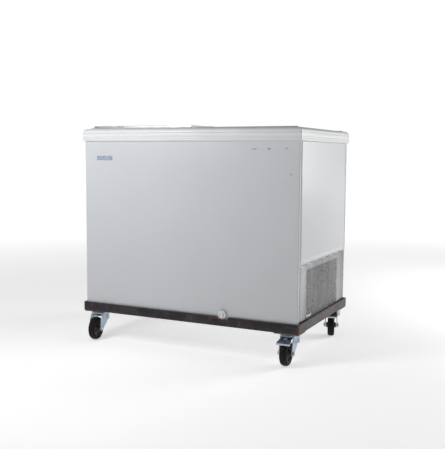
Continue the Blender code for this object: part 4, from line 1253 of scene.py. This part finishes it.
def make_rear_fittings():
    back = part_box("thermostat_knob")[0].y
    bm = bmesh.new()
    skirt = [(0, 0), (0.018, 0), (0.018, 0.0022), (0.0168, 0.0036), (0.0135, 0.0042), (0, 0.0042)]
    lathe(bm, skirt, (KNOB_X, back, KNOB_Z), (0, 1, 0), 48)
    rings = []
    for depth, size in ((0.004, 0.0132), (0.0142, 0.0126), (0.016, 0.0108)):
        ring = []
        for angle in (2 * pi * k / 96 for k in range(96)):
            fluted = size * (1 - 0.05 * (0.5 + 0.5 * cos(16 * angle)))
            x, z = KNOB_X + fluted * cos(angle), KNOB_Z + fluted * sin(angle)
            ring.append(bm.verts.new((x, back + depth, z)))
        rings.append(ring)
    bridge_rings(bm, rings)
    add("thermostat_knob_cap", bm, BLACK_PLASTIC, "thermostat_knob", "thermostat_knob", smooth=40)
    bm = bmesh.new()
    for y0, y1, z0, z1 in ((0.0158, 0.0166, 0.0015, 0.01), (0.0034, 0.0046, 0.0125, 0.0172)):
        box(bm, (KNOB_X - 0.0008, back + y0, KNOB_Z + z0), (KNOB_X + 0.0008, back + y1, KNOB_Z + z1))
    add("thermostat_knob_pointer", bm, WHITE_PLASTIC, body="thermostat_knob", smooth=0)
    bm = bmesh.new()
    for k in range(10):
        spin = Matrix.Translation((KNOB_X, HALF_Y, KNOB_Z)) @ Matrix.Rotation(radians(30 * k - 225), 4, "Y")
        box(bm, (0.0195, -0.0002, -0.0006), (0.0235, 0.0004, 0.0006), spin)
    add("thermostat_scale", bm, BLACK_PLASTIC, smooth=0)
    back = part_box("cable_gland")[0].y
    bm = bmesh.new()
    collar = [(0.0045, 0), (0.0115, 0), (0.0115, 0.004), (0.01, 0.0052), (0.0092, 0.008), (0.0086, 0.0155),
              (0.0078, 0.016), (0.0045, 0.016)]
    lathe(bm, collar, (GLAND_X, back, GLAND_Z), (0, 1, 0), 32)
    rod(bm, (GLAND_X, back, GLAND_Z), (GLAND_X, back + 0.0036, GLAND_Z), 0.0129, 6)
    gland = add("cable_gland_body", bm, BLACK_PLASTIC, "cable_gland")
    bore = bmesh.new()
    rod(bore, (GLAND_X, back - 0.01, GLAND_Z), (GLAND_X, back + 0.03, GLAND_Z), 0.0044, 24)
    cut(gland, bore)


def make_drain():
    dress(WHITE_PLASTIC, "drain_pipe")
    low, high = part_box("drain_dial")
    face = high.y
    bm = bmesh.new()
    r = 0.017
    profile = [(0, 0), (r - 0.0006, 0), (r, 0.0008), (r, 0.0095), (r - 0.0004, 0.0115), (r - 0.0014, 0.0128),
               (r - 0.003, 0.0128), (r - 0.0042, 0.011), (r - 0.005, 0.0074), (r - 0.0058, 0.0068), (0, 0.0066)]
    lathe(bm, profile, (DRAIN_X, face, DRAIN_Z), (0, -1, 0), 64)
    add("drain_dial_ring", bm, WHITE_PLASTIC, "drain_dial", "drain_dial")
    bm = bmesh.new()
    outline = rounded(DRAIN_X - 0.0029, DRAIN_Z - 0.0128, DRAIN_X + 0.0029, DRAIN_Z + 0.0128, 0.0026, 5)
    prism(bm, outline, face - 0.006, low.y + 0.0004, along_y)
    bevel(add("drain_dial_grip", bm, WHITE_PLASTIC, body="drain_dial", smooth=40), 0.0009, 3)
    bm = bmesh.new()
    for sign in (-1, 1):
        x, z = DRAIN_X + sign * 0.0112, DRAIN_Z + sign * 0.001
        rod(bm, (x, face - 0.007, z), (x, face - 0.0088, z), 0.0014, 16, 0.001)
    add("drain_dial_stops", bm, WHITE_PLASTIC, body="drain_dial", smooth=40)


# ---------------------------------------------------------------- lids

def lid_ring(bm, section, middle_x, half_x, half_y, trim):
    """Adds a mitred frame of four bars round (middle_x, 0)."""
    for half_len, face, turn in four_sides(half_x, half_y).values():
        part = bmesh.new()
        mitred(part, section, half_len, face, turn, trim)
        bmesh.ops.translate(part, vec=(middle_x, 0, 0), verts=part.verts)
        mesh = bpy.data.meshes.new("part")
        part.to_mesh(mesh)
        part.free()
        bm.from_mesh(mesh)
        bpy.data.meshes.remove(mesh)


def make_lid(body):
    low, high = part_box(body + "_frame")
    pane_low, pane_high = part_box(body + "_glass")
    wide = 0.024
    middle_x, half_x, half_y = (low.x + high.x) / 2, (high.x - low.x) / 2, high.y
    # Section as (outward, z) from the frame's outer edge, with a slot that takes the glass.
    slot_high = pane_high.z + GAP
    section = [(-wide, low.z), (-0.0008, low.z), (0, low.z + 0.0008), (0, high.z - 0.0018),
               (-0.0006, high.z - 0.0006), (-0.002, high.z), (-wide + 0.003, high.z)]
    if slot_high > high.z - 0.0008:
        section += [(-wide, high.z - 0.0006)]
    else:
        section += [(-wide + 0.0008, high.z - 0.0008), (-wide, slot_high + 0.0006), (-wide, slot_high)]
    bm = bmesh.new()
    lid_ring(bm, section, middle_x, half_x, half_y, 0.00012)
    add(body + "_frame_bars", bm, LID_METAL, body + "_frame", body)
    bm = bmesh.new()
    seat = pane_high.z
    gasket = [(0.0, seat + 0.0001), (0.0, seat + 0.0014), (-0.0032, seat + 0.001), (-0.0036, seat + 0.0001)]
    lid_ring(bm, gasket, middle_x, half_x - wide, half_y - wide, 0.0)
    add(body + "_gasket", bm, RUBBER, body=body, smooth=0)
    dress(GLASS, body + "_glass")
    bevel(NODES[body + "_glass"], 0.0006, 2)
    low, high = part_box(body + "_handle")
    x, half = (low.x + high.x) / 2, (high.x - low.x) / 2
    bm = bmesh.new()
    rings = []
    for k in range(25):
        t = k / 12 - 1
        size = min(1.0, (1 - abs(t)) * high.y / 0.01 + 0.05) ** 0.5
        crest = 0.0021 - 0.0001 * (0.5 + 0.5 * cos(t * 40))
        section = [(-half, 0), (-half * 0.95, 0.0007), (-half * 0.55, crest), (-half * 0.2, 0.0018),
                   (half * 0.2, 0.0018), (half * 0.55, crest), (half * 0.95, 0.0007), (half, 0)]
        rings.append([bm.verts.new((x + a * size, high.y * t, low.z + b * size)) for a, b in section])
    bridge_rings(bm, rings)
    add(body + "_grip", bm, GREY, body + "_handle", body, smooth=50)


# ---------------------------------------------------------------- trolley

def angle_section():
    """Rolled angle as (outward, z), with rounded toes and root and slightly rounded heel."""
    toe, root = 0.0022, 0.004
    low, high = LEG_BOTTOM, LEG_BOTTOM + ANGLE
    section = [(-ANGLE, low)]
    section += arc(-0.0008, low + 0.0008, 0.0008, -90, 0, 2)
    section += [(0.0, high - 0.0006), (-0.0006, high)]
    section += arc(-ANGLE_T + toe, high - toe, toe, 100, 180, 4)
    section += arc(-ANGLE_T - root, low + ANGLE_T + root, root, 0, -90, 5)
    section += arc(-ANGLE + toe, low + ANGLE_T - toe, toe, 90, 180, 4)
    return section


def make_trolley():
    section = angle_section()
    for side, (half_len, face, turn) in four_sides(TROLLEY_X, TROLLEY_Y).items():
        bm = bmesh.new()
        mitred(bm, section, half_len, face, turn, GAP / 2, 120 if turn in (0, 180) else 76)
        for vert in bm.verts:
            roughen(vert, half_len)
        bar = add("trolley_bar_" + side, bm, MILL, "trolley_angle_" + side)
        if side == "front":
            cut(bar, notch_shape())
    bm = bmesh.new()
    for sx in (-1, 1):
        for sy in (-1, 1):
            weld_bead(bm, (sx * (TROLLEY_X - 0.0004), sy * (TROLLEY_Y - 0.0004), LEG_BOTTOM + 0.001),
                      (sx * (TROLLEY_X - 0.0004), sy * (TROLLEY_Y - 0.0004), LEG_BOTTOM + ANGLE - 0.001), 0.0011)
            weld_bead(bm, (sx * (TROLLEY_X - 0.005), sy * (TROLLEY_Y - 0.005), LEG_BOTTOM + 0.0002),
                      (sx * (TROLLEY_X - 0.038), sy * (TROLLEY_Y - 0.038), LEG_BOTTOM + 0.0002), 0.0012)
    add("trolley_corner_welds", bm, WELD, smooth=50)


def roughen(vert, half_len):
    """Small dips and nicks along a bar's edges, always into the bar."""
    co = vert.co
    dip = 0.0003 * (1 + noise.noise(co * 60))
    nick = max(0.0, noise.noise(co * 21 + Vector((3, 7, 1))) - 0.45) * 0.0012
    if co.z > LEG_BOTTOM + ANGLE - 0.001:
        vert.co.z -= dip + nick
    outward = max(abs(co.x) - TROLLEY_X, abs(co.y) - TROLLEY_Y)
    if outward > -0.0002:
        if abs(abs(co.x) - TROLLEY_X) < abs(abs(co.y) - TROLLEY_Y):
            vert.co.x -= dip * 0.6 * (1 if co.x > 0 else -1)
        else:
            vert.co.y -= dip * 0.6 * (1 if co.y > 0 else -1)


def notch_shape():
    """The flame-cut notch round the drain dial."""
    points = [(DRAIN_X - 0.0255, 0.18), (DRAIN_X - 0.0245, 0.1665), (DRAIN_X - 0.0225, 0.1612),
              (DRAIN_X - 0.019, 0.1586), (DRAIN_X - 0.013, 0.1574), (DRAIN_X - 0.006, 0.1566),
              (DRAIN_X, 0.1564), (DRAIN_X + 0.007, 0.157), (DRAIN_X + 0.014, 0.1572), (DRAIN_X + 0.02, 0.158),
              (DRAIN_X + 0.024, 0.1602), (DRAIN_X + 0.0256, 0.164), (DRAIN_X + 0.0272, 0.18)]
    bm = bmesh.new()
    prism(bm, points, -TROLLEY_Y - 0.01, -TROLLEY_Y + 0.0085, along_y)
    return bm


def weld_bead(bm, start, end, radius):
    """A rippled bead from start to end."""
    start, end = Vector(start), Vector(end)
    count = max(6, int((end - start).length / 0.0011))
    points = []
    for k in range(count + 1):
        t = k / count
        wander = Vector((noise.noise(start + Vector((t * 9, 1, 0))),
                         noise.noise(start + Vector((0, t * 9, 2))), 0))
        points.append(start.lerp(end, t) + wander * 0.0002)

    def size(t):
        ripple = 0.82 + 0.18 * abs(sin(t * count * 0.75))
        return radius * ripple * min(1.0, 0.35 + min(t, 1 - t) * 12)

    tube(bm, points, size, 10)


# ---------------------------------------------------------------- casters

def move(bm, place):
    bmesh.ops.transform(bm, matrix=place, verts=bm.verts)


def fork_side():
    """The fork's side outline as (y, z)."""
    side = [(0.0352, 0.13), (0.0356, 0.1), (0.034, 0.09), (0.029, 0.083), (0.012, 0.07),
            (-0.012, 0.053), (-0.025, 0.044)]
    side += arc(-TRAIL, WHEEL_R, 0.0115, -40, -170, 12)
    side += [(-0.05, 0.064), (-0.045, 0.085), (-0.037, 0.101), (-0.033, 0.108), (-0.033, 0.13)]
    return side


def inset(path, distance):
    """Moves an open path of (x, y) points to its left."""
    moved = []
    for index, (x, y) in enumerate(path):
        x0, y0 = path[max(index - 1, 0)]
        x1, y1 = path[min(index + 1, len(path) - 1)]
        ahead = Vector((x1 - x0, y1 - y0)).normalized()
        moved.append((x - distance * ahead.y, y + distance * ahead.x))
    return moved


def smooth_plan(points, steps=3):
    """A smooth path through the (x, y) points of the fork's cup."""
    pts = [Vector((x, y, 0)) for x, y in points]
    pts = [2 * pts[0] - pts[1]] + pts + [2 * pts[-1] - pts[-2]]
    route = []
    for a, b, c, d in zip(pts, pts[1:], pts[2:], pts[3:]):
        for t in (index / steps for index in range(steps)):
            route.append(0.5 * ((2 * b) + (c - a) * t + (2 * a - 5 * b + 4 * c - d) * t * t
                                + (3 * b - a - 3 * c + d) * t ** 3))
    route.append(pts[-2])
    return [(p.x, p.y) for p in route]


def make_fork(corner, place, braked):
    inner = FORK_HALF - CHEEK_T
    round_r = 0.008
    outer = [(-FORK_HALF, 0.03)]
    outer += arc(-FORK_HALF + round_r, CROWN_TOP - round_r, round_r, 180, 90, 8)
    outer += arc(FORK_HALF - round_r, CROWN_TOP - round_r, round_r, 90, 0, 8)
    outer += [(FORK_HALF, 0.03)]
    inside_r = round_r - CHEEK_T
    inside = [(inner, 0.03)]
    inside += arc(inner - inside_r, CROWN_BOTTOM - inside_r, inside_r, 0, 90, 6)
    inside += arc(-inner + inside_r, CROWN_BOTTOM - inside_r, inside_r, 90, 180, 6)
    inside += [(-inner, 0.03)]
    bm = bmesh.new()
    prism(bm, outer + inside, -0.08, 0.06, along_y)
    fork = add("fork_" + corner + "_pressing", bm, ZINC, "caster_fork_" + corner, "fork_" + corner, smooth=30)
    mask = bmesh.new()
    prism(mask, fork_side(), -0.05, 0.05, along_x)
    cut(fork, mask, "INTERSECT")
    plan = smooth_plan(CUP_SIDE + [(-x, y) for x, y in reversed(CUP_SIDE)])
    cup = bmesh.new()
    prism(cup, plan, CROWN_BOTTOM - 0.0004, CROWN_TOP - 0.0002, along_z)
    cut(fork, cup, "UNION")
    cup = bmesh.new()
    prism(cup, plan + inset(plan, CHEEK_T)[::-1], CUP_BOTTOM, CROWN_BOTTOM + 0.001, along_z)
    cut(fork, cup, "UNION")
    if braked:
        for sign in (-1, 1):
            ear = bmesh.new()
            near, far = sorted((sign * inner, sign * FORK_HALF))
            bend = arc(HINGE_Y, HINGE_Z - 0.0008, 0.0046, 250, 90, 8)
            outline = [(-0.029, 0.1058)] + bend + [(-0.029, 0.1163)]
            prism(ear, outline, near, far, along_x)
            cut(fork, ear, "UNION")
    fork.data.transform(place)
    bevel(fork, 0.0006, 2, 40)
    shade(fork, 35)
    bm = bmesh.new()
    for sign in (-1, 1):
        face = sign * FORK_HALF
        lathe(bm, [(0.0046, 0), (0.0104, 0), (0.0104, 0.001), (0.0098, 0.0013), (0.0046, 0.0013)],
              (face, -TRAIL, WHEEL_R), (sign, 0, 0), 28)
        hexagon(bm, (face + sign * 0.0013, -TRAIL, WHEEL_R), (sign, 0, 0), 0.0088, 0.0049)
    rod(bm, (-0.0338, -TRAIL, WHEEL_R), (0.0338, -TRAIL, WHEEL_R), 0.0042, 20)
    for k in range(4):
        rod(bm, (0.0335 - k * 0.0001, -TRAIL, WHEEL_R), (0.0339 - k * 0.0001, -TRAIL, WHEEL_R), 0.004, 20)
    move(bm, place)
    bevel(add("axle_bolt_" + corner, bm, ZINC, body="fork_" + corner), 0.0003, 2, 50)
    bm = bmesh.new()
    hexagon(bm, (0, 0, CROWN_BOTTOM), (0, 0, -1), 0.011, 0.006)
    rod(bm, (0, 0, CROWN_BOTTOM - 0.006), (0, 0, CROWN_BOTTOM - 0.0088), 0.0048, 20)
    move(bm, place)
    bevel(add("kingpin_nut_" + corner, bm, ZINC, body="fork_" + corner), 0.0003, 2, 50)


def hexagon(bm, centre, axis, radius, tall):
    """A hexagon nut or head with chamfered corners."""
    place = facing(centre, axis)
    rings = []
    for height, share in ((0, 1.0), (tall * 0.8, 1.0), (tall, 0.9)):
        reach = radius * share
        rings.append([bm.verts.new(place @ Vector((reach * cos(pi / 3 * k), reach * sin(pi / 3 * k), height)))
                      for k in range(6)])
    bridge_rings(bm, rings)


def shade(obj, angle):
    obj.data.shade_smooth()
    obj.data.set_sharp_from_angle(angle=radians(angle))


def make_wheel(corner, place):
    bm = bmesh.new()
    half = 0.015
    tread = [(0.035, -0.0125), (0.0365, -0.014), (0.041, -half), (0.044, -0.0148), (0.0462, -0.0136),
             (0.048, -0.0113), (0.0492, -0.0082), (0.0498, -0.0048), (0.04985, -0.0016), (0.05, 0.0)]
    profile = tread + [(r, -a) for r, a in reversed(tread[:-1])]
    lathe(bm, profile, (0, -TRAIL, WHEEL_R), (1, 0, 0), 72)
    move(bm, place)
    add("tyre_" + corner, bm, RUBBER, "caster_wheel_" + corner, "wheel_" + corner, smooth=40)
    bm = bmesh.new()
    hub = [(0.0048, -0.0225), (0.0105, -0.0225), (0.0118, -0.0215), (0.0128, -0.012), (0.015, -0.0092),
           (0.031, -0.0078), (0.0322, -0.01), (0.0328, -0.0124), (0.0349, -0.0126)]
    hub += [(r, -a) for r, a in reversed(hub)]
    lathe(bm, hub, (0, -TRAIL, WHEEL_R), (1, 0, 0), 60)
    for k in range(6):
        for sign in (-1, 1):
            spin = Matrix.Translation((0, -TRAIL, WHEEL_R)) @ Matrix.Rotation(pi / 3 * k, 4, "X")
            near, far = sorted((sign * 0.007, sign * 0.0112))
            box(bm, (near, -0.0012, 0.0125), (far, 0.0012, 0.0325), spin)
    move(bm, place)
    add("hub_" + corner, bm, HUB, body="wheel_" + corner)


def make_plate(corner, x, y):
    low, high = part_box("caster_plate_" + corner)
    plate_low = LEG_BOTTOM - GAP - 0.0035
    bm = bmesh.new()
    outline = rounded(low.x, low.y, high.x, high.y, 0.008, 5)
    prism(bm, outline, plate_low, high.z, along_z)
    plate = add("caster_plate_" + corner + "_sheet", bm, DARK_ZINC, "caster_plate_" + corner)
    bevel(plate, 0.0006, 2, 40)
    bm = bmesh.new()
    race = [(0, CROWN_TOP + GAP), (0.03, CROWN_TOP + GAP), (0.0322, CROWN_TOP + 0.0008),
            (0.033, CROWN_TOP + 0.0022), (0.0322, CROWN_TOP + 0.0038), (0.0296, plate_low - 0.0004),
            (0.0285, plate_low + 0.0002), (0, plate_low + 0.0002)]
    lathe(bm, race, (x, y, 0), (0, 0, 1), 56)
    add("swivel_race_" + corner, bm, ZINC, smooth=40)
    sx, sy = (1 if x > 0 else -1), (1 if y > 0 else -1)
    bm = bmesh.new()
    edge = LEG_BOTTOM - 0.0004
    inner_x = x - sx * 0.0546
    for start, end in (((inner_x, sy * 0.29), (inner_x, sy * 0.312)),
                       ((x - sx * 0.03, y - sy * 0.0446), (x - sx * 0.006, y - sy * 0.0446))):
        if abs(start[0]) > TROLLEY_X - ANGLE or abs(start[1]) > TROLLEY_Y - ANGLE:
            weld_bead(bm, (*start, edge), (*end, edge), 0.0014)
    if bm.verts:
        add("caster_weld_" + corner, bm, WELD, smooth=50)
    else:
        bm.free()


def make_pedal(corner, place):
    tilt = atan2(0.017, 0.052)
    right = [(0.0233, 0.0), (0.0235, -0.01), (0.024, -0.018), (0.0252, -0.026), (0.0276, -0.034),
             (0.0285, -0.039), (0.0285, -0.0505)]
    outline = right + [(0.027, -0.052), (-0.027, -0.052)] + [(-a, b) for a, b in reversed(right)]
    bm = bmesh.new()
    prism(bm, outline, -0.0012, 0.0014, along_z)
    lip = [(-0.0496, 0.0013), (-0.0512, 0.001), (-0.0522, 0.0000), (-0.0525, -0.0018), (-0.0525, -0.0058),
           (-0.0506, -0.0058), (-0.0503, -0.0022), (-0.0496, -0.0012)]
    prism(bm, lip, -0.028, 0.028, along_x)
    for sign in (-1, 1):
        flange = [(-0.003, 0.0012), (-0.02, 0.0012), (-0.02, -0.0038), (-0.006, -0.0048), (-0.003, -0.0036)]
        near, far = sorted((sign * 0.015, sign * 0.0168))
        prism(bm, flange, near, far, along_x)
    turn = Matrix.Translation((0, HINGE_Y, HINGE_Z)) @ Matrix.Rotation(tilt, 4, "X")
    move(bm, place @ turn)
    pedal = add("brake_pedal_" + corner + "_plate", bm, ZINC, "brake_pedal_" + corner, "pedal_" + corner)
    bevel(pedal, 0.0005, 2, 40)
    bm = bmesh.new()
    boss = [(0, 0.0014), (0.0095, 0.0014), (0.0093, 0.0024), (0.0078, 0.003), (0.0066, 0.0034), (0.006, 0.0044),
            (0.004, 0.0048), (0, 0.0049)]
    lathe(bm, boss, (0, -0.012, 0), (0, 0, 1), 32)
    reach = FORK_HALF - CHEEK_T - GAP
    rod(bm, (-reach, 0, 0), (reach, 0, 0), 0.0022, 20)
    move(bm, place @ turn)
    add("brake_pedal_" + corner + "_pin", bm, ZINC, body="pedal_" + corner)


def make_casters():
    for corner, (x, y, yaw, braked) in CASTERS.items():
        place = Matrix.Translation((x, y, 0)) @ Matrix.Rotation(radians(yaw), 4, "Z")
        make_plate(corner, x, y)
        make_fork(corner, place, braked)
        make_wheel(corner, place)
        if braked:
            make_pedal(corner, place)


make_panels()
make_rim()
make_tracks()
make_badge()
make_grille()
make_rear_cover()
make_liner()
make_compressor()
make_condenser()
make_fan()
make_pipes()
make_rear_fittings()
make_drain()
make_lid("upper_lid")
make_lid("lower_lid")
make_trolley()
make_casters()
